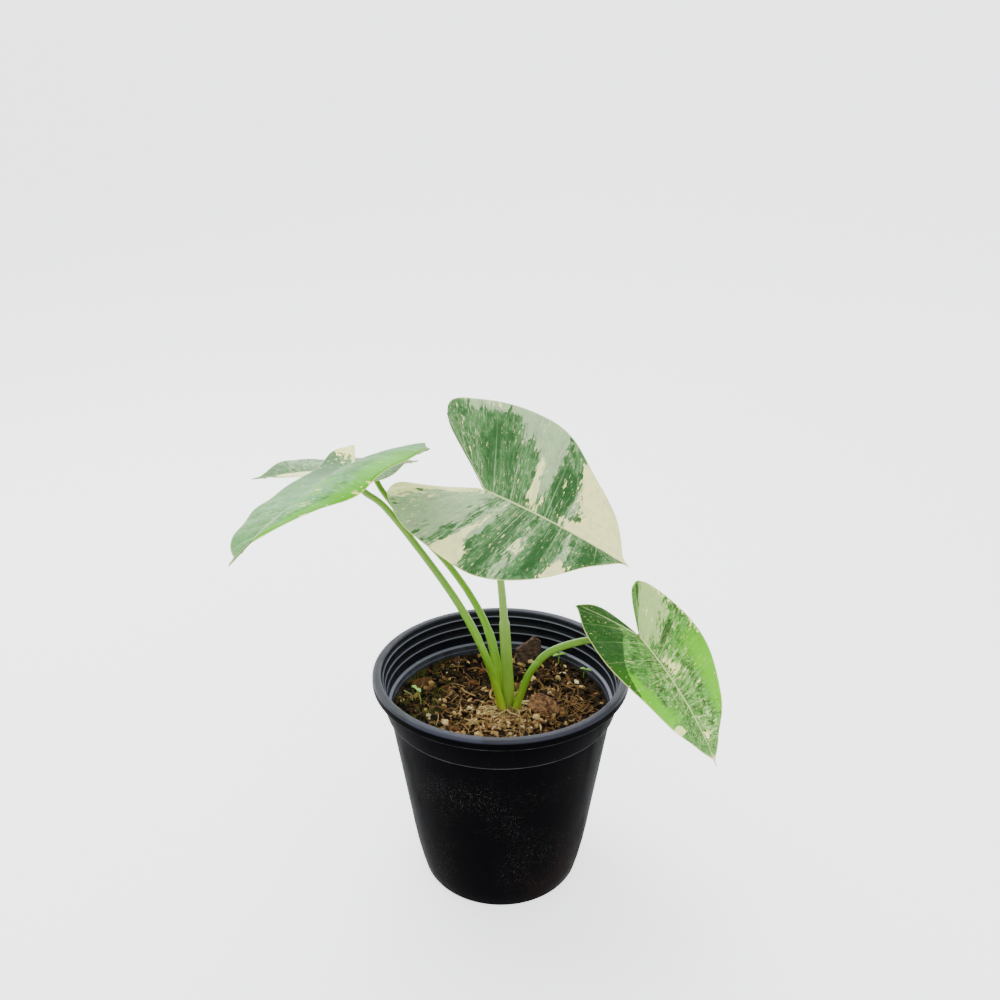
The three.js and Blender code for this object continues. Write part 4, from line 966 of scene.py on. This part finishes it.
def blade_patch(blade, marks, half_number, row, share):
    """Grid of one half: its points, relief and shader values for rows by shares."""
    half = blade["halves"][half_number]
    lobe_end = margin_at(half["margin"], np.array(float(LOBE_END)))
    sinus = row[0] >= ROWS
    along = np.where(row > ROWS, 2 * ROWS - row, row)
    back = np.clip((along - FORWARD_ROWS) / LOBE_ROWS, 0, 1)
    axis = np.stack([np.where(along <= FORWARD_ROWS, 1 - along / FORWARD_ROWS, lobe_end[0] * back),
                     lobe_end[1] * back], -1)
    spans = len(half["margin"]) - 1
    if sinus:
        edge = margin_at(half["margin"], spans - (spans - LOBE_END) * back)
    else:
        edge = margin_at(half["margin"], LOBE_END * row / ROWS)
    place = axis[:, None] * (1 - share)[None, :, None] + edge[:, None] * share[None, :, None]
    tail = 0 if sinus else np.clip(1 - row, 0, 1)[:, None] ** 2
    s = place[..., 0] + 0.055 * tail
    t = np.maximum(place[..., 1], 0) * (1 - 0.45 * tail)
    points = blade_surface(blade, half_number, s, t)
    reach = np.linalg.norm(edge - axis, axis=-1)[:, None] * blade["length"]
    from_axis = reach * share[None, :]
    to_margin = reach * (1 - share[None, :])
    rows, shares = np.broadcast_arrays(row[:, None], share[None, :])
    depth = 0.15 + 0.85 * np.where(along <= FORWARD_ROWS, along / FORWARD_ROWS, 1 - back)[:, None]
    to_vein = np.abs(rows % 2 - 1)
    vein = np.exp(-(to_vein / 0.17) ** 2) * (1 - 0.8 * shares) * (0 if sinus else 1)
    quilt = (0.5 - 0.5 * np.cos(np.pi * to_vein)) * np.clip(5 * shares * (1 - shares), 0, 1)
    quilt = quilt * (0 if sinus else 1)
    small = value_noise(np.stack([rows * 2.2, shares * 5, rows * 0 + 9 * half_number], -1), 1, 3, 4)
    wave = np.sin(rows * 1.35 + half_number * 2) * shares ** 3 * blade["ripple"]
    lean = np.clip(to_margin / 1.5, 0.45, 1)
    crest = np.exp(-(from_axis / (0.35 + 0.75 * depth)) ** 2) * depth
    thick = HALF_THICKNESS * lean
    top = wave + thick + 0.32 * quilt - 0.16 * vein + 0.22 * crest + 0.05 * small
    bottom = wave - thick + 0.2 * quilt - 0.42 * vein - 1.15 * crest + 0.05 * small
    rib = from_axis / (0.3 + 0.75 * depth) + 0.26 * np.clip(4 * back, 0, 1)[:, None]
    values = {"rib": rib, "to_margin": to_margin, **{tone: 0 * rows for tone in BLADE_TONES}}
    for tone, marked_half, centre, middle, row_reach, share_reach, strength in marks:
        if marked_half != half_number:
            continue
        # Painted shade: every row behind the fold line is darkened, added to the dark tone.
        if tone == "fold":
            line = smooth_step(-0.25, 0.25, rows - (centre - middle * shares))
            values["dark_and_shade"] = values["dark_and_shade"] + strength * line
            continue
        spot = np.exp(-np.abs((rows - centre) / row_reach) ** 2.6
                      - np.abs((shares - middle) / share_reach) ** 2.6)
        values[tone] = values[tone] + strength * spot
    uv = np.stack([rows + 60.0 * half_number, shares * 9 + (20 if sinus else 0)], -1)
    return points, top, bottom, values, uv


def build_blade(name, blade):
    """Mesh of a whole blade: both faces and the edge between them."""
    fine_rows = np.arange(ROWS * ROW_CUTS + 1) / ROW_CUTS
    sinus_rows = ROWS + np.arange(LOBE_ROWS * ROW_CUTS + 1) / ROW_CUTS
    shares = (np.arange(41) / 40) ** 1.7
    few_shares = (np.arange(19) / 18) ** 1.4
    stacks = {"points": [], "top": [], "bottom": [], "uv": []}
    value_stacks = {key: [] for key in ("rib", "to_margin", *BLADE_TONES)}
    triangles = []
    start = 0
    for half_number in (0, 1):
        for rows, columns in ((fine_rows, shares), (sinus_rows, few_shares)):
            points, top, bottom, values, uv = blade_patch(blade, MARKS[name], half_number, rows, columns)
            stacks["points"].append(points.reshape(-1, 3))
            stacks["top"].append(top.ravel())
            stacks["bottom"].append(bottom.ravel())
            stacks["uv"].append(uv.reshape(-1, 2))
            for key, stack in value_stacks.items():
                stack.append(np.broadcast_to(values[key], top.shape).ravel())
            index = start + np.arange(top.size).reshape(top.shape)
            a, b, c, d = index[:-1, :-1], index[:-1, 1:], index[1:, 1:], index[1:, :-1]
            if half_number == 0:
                quads = ((a, b, c), (a, c, d))
            else:
                quads = ((a, c, b), (a, d, c))
            triangles += [np.stack([part.ravel() for part in quad], -1) for quad in quads]
            start += top.size
    points = np.concatenate(stacks["points"])
    triangles = np.concatenate(triangles)
    first, welded = np.unique(np.round(points / 0.01).astype(np.int64), axis=0,
                              return_index=True, return_inverse=True)[1:]
    welded = welded.ravel()
    joined = welded[triangles]
    kept = ((joined[:, 0] != joined[:, 1]) & (joined[:, 1] != joined[:, 2])
            & (joined[:, 2] != joined[:, 0]))
    triangles, joined = triangles[kept], joined[kept]
    middle = points[first]
    normals = np.zeros_like(middle)
    corner_a, corner_b, corner_c = (middle[joined[:, corner]] for corner in range(3))
    across = np.cross(corner_b - corner_a, corner_c - corner_a)
    for corner in range(3):
        np.add.at(normals, joined[:, corner], across)
    if normals[:, 2].sum() < 0:
        normals = -normals
        joined = joined[:, ::-1]
        triangles = triangles[:, ::-1]
    normals /= np.linalg.norm(normals, axis=1)[:, None] + 1e-12
    top = middle + normals * np.concatenate(stacks["top"])[first][:, None]
    bottom = middle + normals * np.concatenate(stacks["bottom"])[first][:, None]
    count = len(middle)
    edges = {}
    for face, source in zip(joined, triangles):
        for k in range(3):
            pair = (int(face[k]), int(face[(k + 1) % 3]))
            if (pair[1], pair[0]) in edges:
                del edges[(pair[1], pair[0])]
            else:
                edges[pair] = (int(source[k]), int(source[(k + 1) % 3]))
    faces = joined.tolist() + (joined[:, ::-1] + count).tolist()
    sources = triangles.ravel().tolist() + triangles[:, ::-1].ravel().tolist()
    under = [0.0] * (3 * len(joined)) + [1.0] * (3 * len(joined))
    for (start_point, end_point), (start_source, end_source) in edges.items():
        faces.append([end_point, start_point, start_point + count, end_point + count])
        sources += [end_source, start_source, start_source, end_source]
        under += [0.3] * 4
    heading, pitch, roll = (math.radians(blade[k]) for k in ("heading", "pitch", "roll"))
    forward = np.array([math.cos(pitch) * math.cos(heading), math.cos(pitch) * math.sin(heading),
                        math.sin(pitch)])
    level = np.array([-math.sin(heading), math.cos(heading), 0])
    left = level * math.cos(roll) + np.cross(forward, level) * math.sin(roll)
    basis = np.stack([forward, left, np.cross(forward, left)])
    world_points = np.concatenate([top, bottom]) @ basis + blade["junction"]
    mesh = make_mesh("blade_" + name, world_points, faces, 180)
    uv = np.concatenate(stacks["uv"])[sources]
    mesh.uv_layers.new(name="vein").data.foreach_set("uv", uv.ravel())
    for key, stack in value_stacks.items():
        values = np.concatenate(stack)[sources]
        mesh.attributes.new(key, "FLOAT", "CORNER").data.foreach_set("value", values)
    mesh.attributes.new("under", "FLOAT", "CORNER").data.foreach_set("value", under)
    return mesh


# Living leaf: greens in blotches, grey-green and cream sectors with ragged edges that run with
# the side veins, cream flecks, a pale midrib and a thin pale margin; the underside is paler. Painted
# light as well: a bright green glow where light shines through the blade, shade behind a fold line,
# and a bluish sky sheen in one blade's ash tone.


def leaf_shader(name, tones, speckle, softness, roughness):
    dark_green, green, pale_green, ash_and_sheen, glow_green, cream_tone = (colour(*tone) for tone in tones)
    leaf = Shader(name)
    vein = leaf.node("UVMap", {"uv_map": "vein"}).outputs[0]
    across_veins, outwards = leaf.parts(vein)[:2]
    streaks = leaf.noise(leaf.stretched(vein, 1.5, 0.34, 1), 1, 7, 0.64, 0.3)
    fine_streaks = leaf.noise(leaf.stretched(vein, 5.5, 1.1, 1), 1, 6, 0.62, 0.4)
    clouds = leaf.noise(leaf.stretched(vein, 0.9, 0.5, 1), 1.3, 7, 0.68)
    flecks = leaf.noise(leaf.stretched(vein, 9, 1.3, 1), 1, 4, 0.62, 0.6)
    fleck_zone = leaf.step(leaf.noise(leaf.stretched(vein, 0.5, 0.4, 1), 1, 3), 0.35, 0.62, 0.06, -0.02)
    hairlines = leaf.noise(leaf.stretched(vein, 11, 0.28, 1), 1, 4, 0.6)
    near_axis = leaf.product(leaf.step(outwards, 6.5, 0.5), leaf.step(outwards, 19, 15))

    def ragged(value, coarse, fine):
        return leaf.math("ADD", value, leaf.math(
            "ADD", leaf.product(leaf.math("SUBTRACT", streaks, 0.5), coarse),
            leaf.product(leaf.math("SUBTRACT", fine_streaks, 0.5), fine)))

    to_vein = leaf.math("PINGPONG", leaf.math("ADD", across_veins, 1.0), 1.0)
    side_vein = leaf.product(leaf.step(to_vein, 0.08, 0.02),
                             leaf.math("MULTIPLY_ADD", near_axis, 0.8, 0.2))
    tone = leaf.mix(leaf.step(clouds, 0.38, 0.62, 0.2, 1.0), dark_green, green)
    tone = leaf.mix(leaf.step(fine_streaks, 0.5, 0.64, 0.0, 0.45), tone, pale_green)
    # Painted glow: bright green where light would shine through the blade.
    painted_glow = leaf.step(ragged(leaf.attribute("painted_glow"), 1.0, 0.5), 0.2, 0.8)
    tone = leaf.mix(painted_glow, tone, glow_green)
    pale = leaf.step(ragged(leaf.attribute("pale"), 2.4, 1.5), 0.52 - softness, 0.52 + softness)
    # Grey-green sectors; on left_front the bluish ash is a painted sky sheen.
    pale_body = leaf.mix(leaf.step(clouds, 0.45, 0.6), pale_green, ash_and_sheen)
    tone = leaf.mix(leaf.product(pale, 0.74), tone, pale_body)
    # Dark blotches, and on one blade the painted shade behind a fold line.
    dark_and_shade = leaf.step(ragged(leaf.attribute("dark_and_shade"), 1.3, 1.0), 0.38, 0.6)
    tone = leaf.mix(leaf.product(dark_and_shade, 0.85), tone, dark_green)
    hairline = leaf.product(leaf.step(hairlines, 0.56, 0.64), near_axis)
    tone = leaf.mix(leaf.product(hairline, 0.5), tone, pale_green)
    tone = leaf.mix(leaf.product(side_vein, 0.5), tone, pale_green)
    fleck_level = leaf.math("SUBTRACT", leaf.math("SUBTRACT", flecks, speckle), fleck_zone)
    tone = leaf.mix(leaf.step(fleck_level, 0.0, 0.04, 0.0, 0.75), tone, cream_tone)
    cream = leaf.step(ragged(leaf.attribute("cream"), 2.3, 1.5), 0.47, 0.53)
    cream_body = leaf.mix(leaf.step(clouds, 0.44, 0.66, 0.0, 0.45), cream_tone, pale_green)
    tone = leaf.mix(cream, tone, cream_body)
    midrib = leaf.step(leaf.attribute("rib"), 0.95, 0.55)
    tone = leaf.mix(leaf.product(midrib, 0.85), tone, colour(214, 224, 158))
    border = leaf.step(leaf.attribute("to_margin"), 0.6, 0.25)
    tone = leaf.mix(leaf.product(border, 0.75), tone, colour(218, 224, 140))
    below = leaf.mix(leaf.product(cream, 0.5), colour(82, 126, 52), cream_tone)
    below = leaf.mix(leaf.math("MAXIMUM", midrib, leaf.product(side_vein, 0.6)), below,
                     colour(126, 164, 84))
    under = leaf.attribute("under")
    leaf.set(Base_Color=leaf.mix(under, tone, below),
             Roughness=leaf.step(under, 0.0, 1.0, roughness, 0.6),
             Specular_IOR_Level=0.16, Subsurface_Weight=0.1,
             Subsurface_Radius=(0.5, 1.0, 0.25), Subsurface_Scale=0.0012)
    leaf.bump(leaf.math("ADD", fine_streaks, leaf.product(to_vein, 0.3)), 0.25, 0.0003)
    return leaf.material


# Tones of each blade: dark green, green, pale green, ash, green of the painted glow and cream.
LEAF_TONES = {
    "centre": ((36, 82, 34), (84, 130, 74), (180, 208, 154), (168, 182, 146), (92, 172, 20),
               (255, 250, 170)),
    # left_front's ash is bluish: painted sheen of the sky on its upper face.
    "left_front": ((34, 98, 26), (60, 142, 32), (116, 188, 78), (92, 156, 112), (84, 172, 0),
                   (255, 246, 150)),
    "left_back": ((50, 96, 50), (88, 132, 74), (150, 180, 124), (124, 156, 120), (92, 172, 30),
                  (255, 250, 170)),
    "right": ((22, 68, 12), (88, 156, 58), (190, 222, 134), (196, 216, 146), (104, 188, 24),
              (255, 250, 160)),
}
LEAF_FINISH = {
    "centre": (0.625, 0.08, 0.5), "left_front": (0.66, 0.22, 0.42), "left_back": (0.66, 0.14, 0.45),
    "right": (0.64, 0.2, 0.5),
}
for blade_name, blade in BLADES.items():
    blade_mesh = build_blade(blade_name, blade)
    blade_mesh.materials.append(leaf_shader("leaf_" + blade_name, LEAF_TONES[blade_name],
                                            *LEAF_FINISH[blade_name]))
    make_object("blade_" + blade_name, blade_mesh, "leaf_" + blade_name, "leaf_" + blade_name)

# Weed seedlings. Thread-like stems with two small seed leaves or a true leaf, and one pale bare
# shoot, that have come up in the mix.

SEEDLINGS = {
    "seedling_left": dict(foot=(-48.5, 1), height=11, lean=(-2.4, 1), leaf=4.2, tone=(150, 190, 84)),
    "seedling_back": dict(foot=(37.5, 48), height=7, lean=(0.8, 0.6), leaf=4.4, tone=(140, 186, 70)),
    "seedling_back_right": dict(foot=(52.5, 31), height=6, lean=(1, -0.5), leaf=3.6,
                                tone=(128, 176, 66)),
    "shoot_left": dict(foot=(-54, 4), height=8, lean=(-4.5, -1.5), leaf=0, tone=(176, 190, 126)),
}
for weed_name, weed in SEEDLINGS.items():
    weed_pile = Pile()
    x, y = weed["foot"]
    base = float(mix_top(x, y))
    top = (x + weed["lean"][0], y + weed["lean"][1], base + weed["height"])
    knots = [(x, y, base - 6), (x, y, base + weed["height"] * 0.4), top]
    path = smooth_path(knots, 16)
    weed_pile.add(*strand(path, np.linspace(0.55, 0.35, 16), 10), 0.2)
    for side in (-1, 1) if weed["leaf"] else ():
        length, width = weed["leaf"] * 1.05, weed["leaf"] * 0.62
        rows, columns = 13, 9
        share = np.linspace(0, 1, rows)[:, None] * np.ones((1, columns))
        spread = np.sin(np.pi * np.linspace(0.06, 0.97, rows))[:, None] ** 0.7
        out = np.linspace(-1, 1, columns)[None, :] * spread
        flat = np.stack([share * length, out * width / 2,
                         0.16 * length * np.sin(share * 2.2) + 0.28 * np.abs(out) * width / 2], -1)
        skin = np.concatenate([flat + (0, 0, 0.14), flat - (0, 0, 0.14)]).reshape(-1, 3)
        index = np.arange(rows * columns).reshape(rows, columns)
        faces = []
        for i in range(rows - 1):
            for j in range(columns - 1):
                quad = (index[i, j], index[i + 1, j], index[i + 1, j + 1], index[i, j + 1])
                faces.append(quad)
                faces.append(tuple(rows * columns + k for k in reversed(quad)))
        rim = list(index[0]) + list(index[1:, -1]) + list(index[-1, -2::-1]) + list(index[-2:0:-1, 0])
        for here, after in zip(rim, rim[1:] + rim[:1]):
            faces.append((here, after, after + rows * columns, here + rows * columns))
        turn = rotation(0, 0, 0.5 + x + (0 if side > 0 else math.pi)) @ rotation(0, 0.25, 0)
        weed_pile.add(skin @ turn.T + top, faces, 0.8)
    weed_mesh = weed_pile.build(weed_name + "_fine", 60)
    weed_shader = Shader(weed_name)
    mottle = weed_shader.noise(weed_shader.place, 900, 4, 0.6)
    red, green_part, blue = weed["tone"]
    tone = weed_shader.mix(weed_shader.step(mottle, 0.35, 0.65),
                           colour(red * 0.8, green_part * 0.85, blue * 0.8),
                           colour(red, green_part, blue))
    weed_shader.set(Base_Color=tone, Roughness=0.5, Subsurface_Weight=0.1, Subsurface_Scale=0.0008)
    weed_shader.bump(mottle, 0.3, 0.0003)
    weed_mesh.materials.append(weed_shader.material)
    make_object(weed_name + "_fine", weed_mesh, "seedling", weed_name)

# Moss. Low green tufts on the damp mix at the left, and single sprigs elsewhere. Each sprig is
# a short thread that tapers to its tip, rooted just under the surface.

moss_random = np.random.default_rng(41)
moss = Pile()
tufts = [((-47, 6), (8, 12), 260), ((-38, -22), (9, 6), 110), ((20, 40), (16, 9), 50)]
for centre, spread, count in tufts:
    for number in range(count):
        x, y = moss_random.normal(centre, spread)
        if math.hypot(x, y) > 60:
            continue
        ground = float(mix_surface(x, y))
        tall = 0.8 + 1.8 * moss_random.random() ** 2
        lean = moss_random.normal(0, 0.6, 2)
        path = [(x + lean[0] * k * k * 0.1, y + lean[1] * k * k * 0.1, ground - 0.2 + tall * k / 3)
                for k in range(4)]
        moss.add(*strand(path, (0.16, 0.22, 0.17, 0.05), 4), moss_random.random())
moss_piece = make_object("moss", moss.build("moss", 70), "potting_mix")
moss_shader = Shader("moss")
moss_tones = moss_shader.ramp(moss_shader.attribute("tint"), (0, (70, 84, 26)), (1, (148, 158, 62)))
moss_shader.set(Base_Color=moss_tones, Roughness=0.8, Specular_IOR_Level=0.3)
moss_piece.data.materials.append(moss_shader.material)
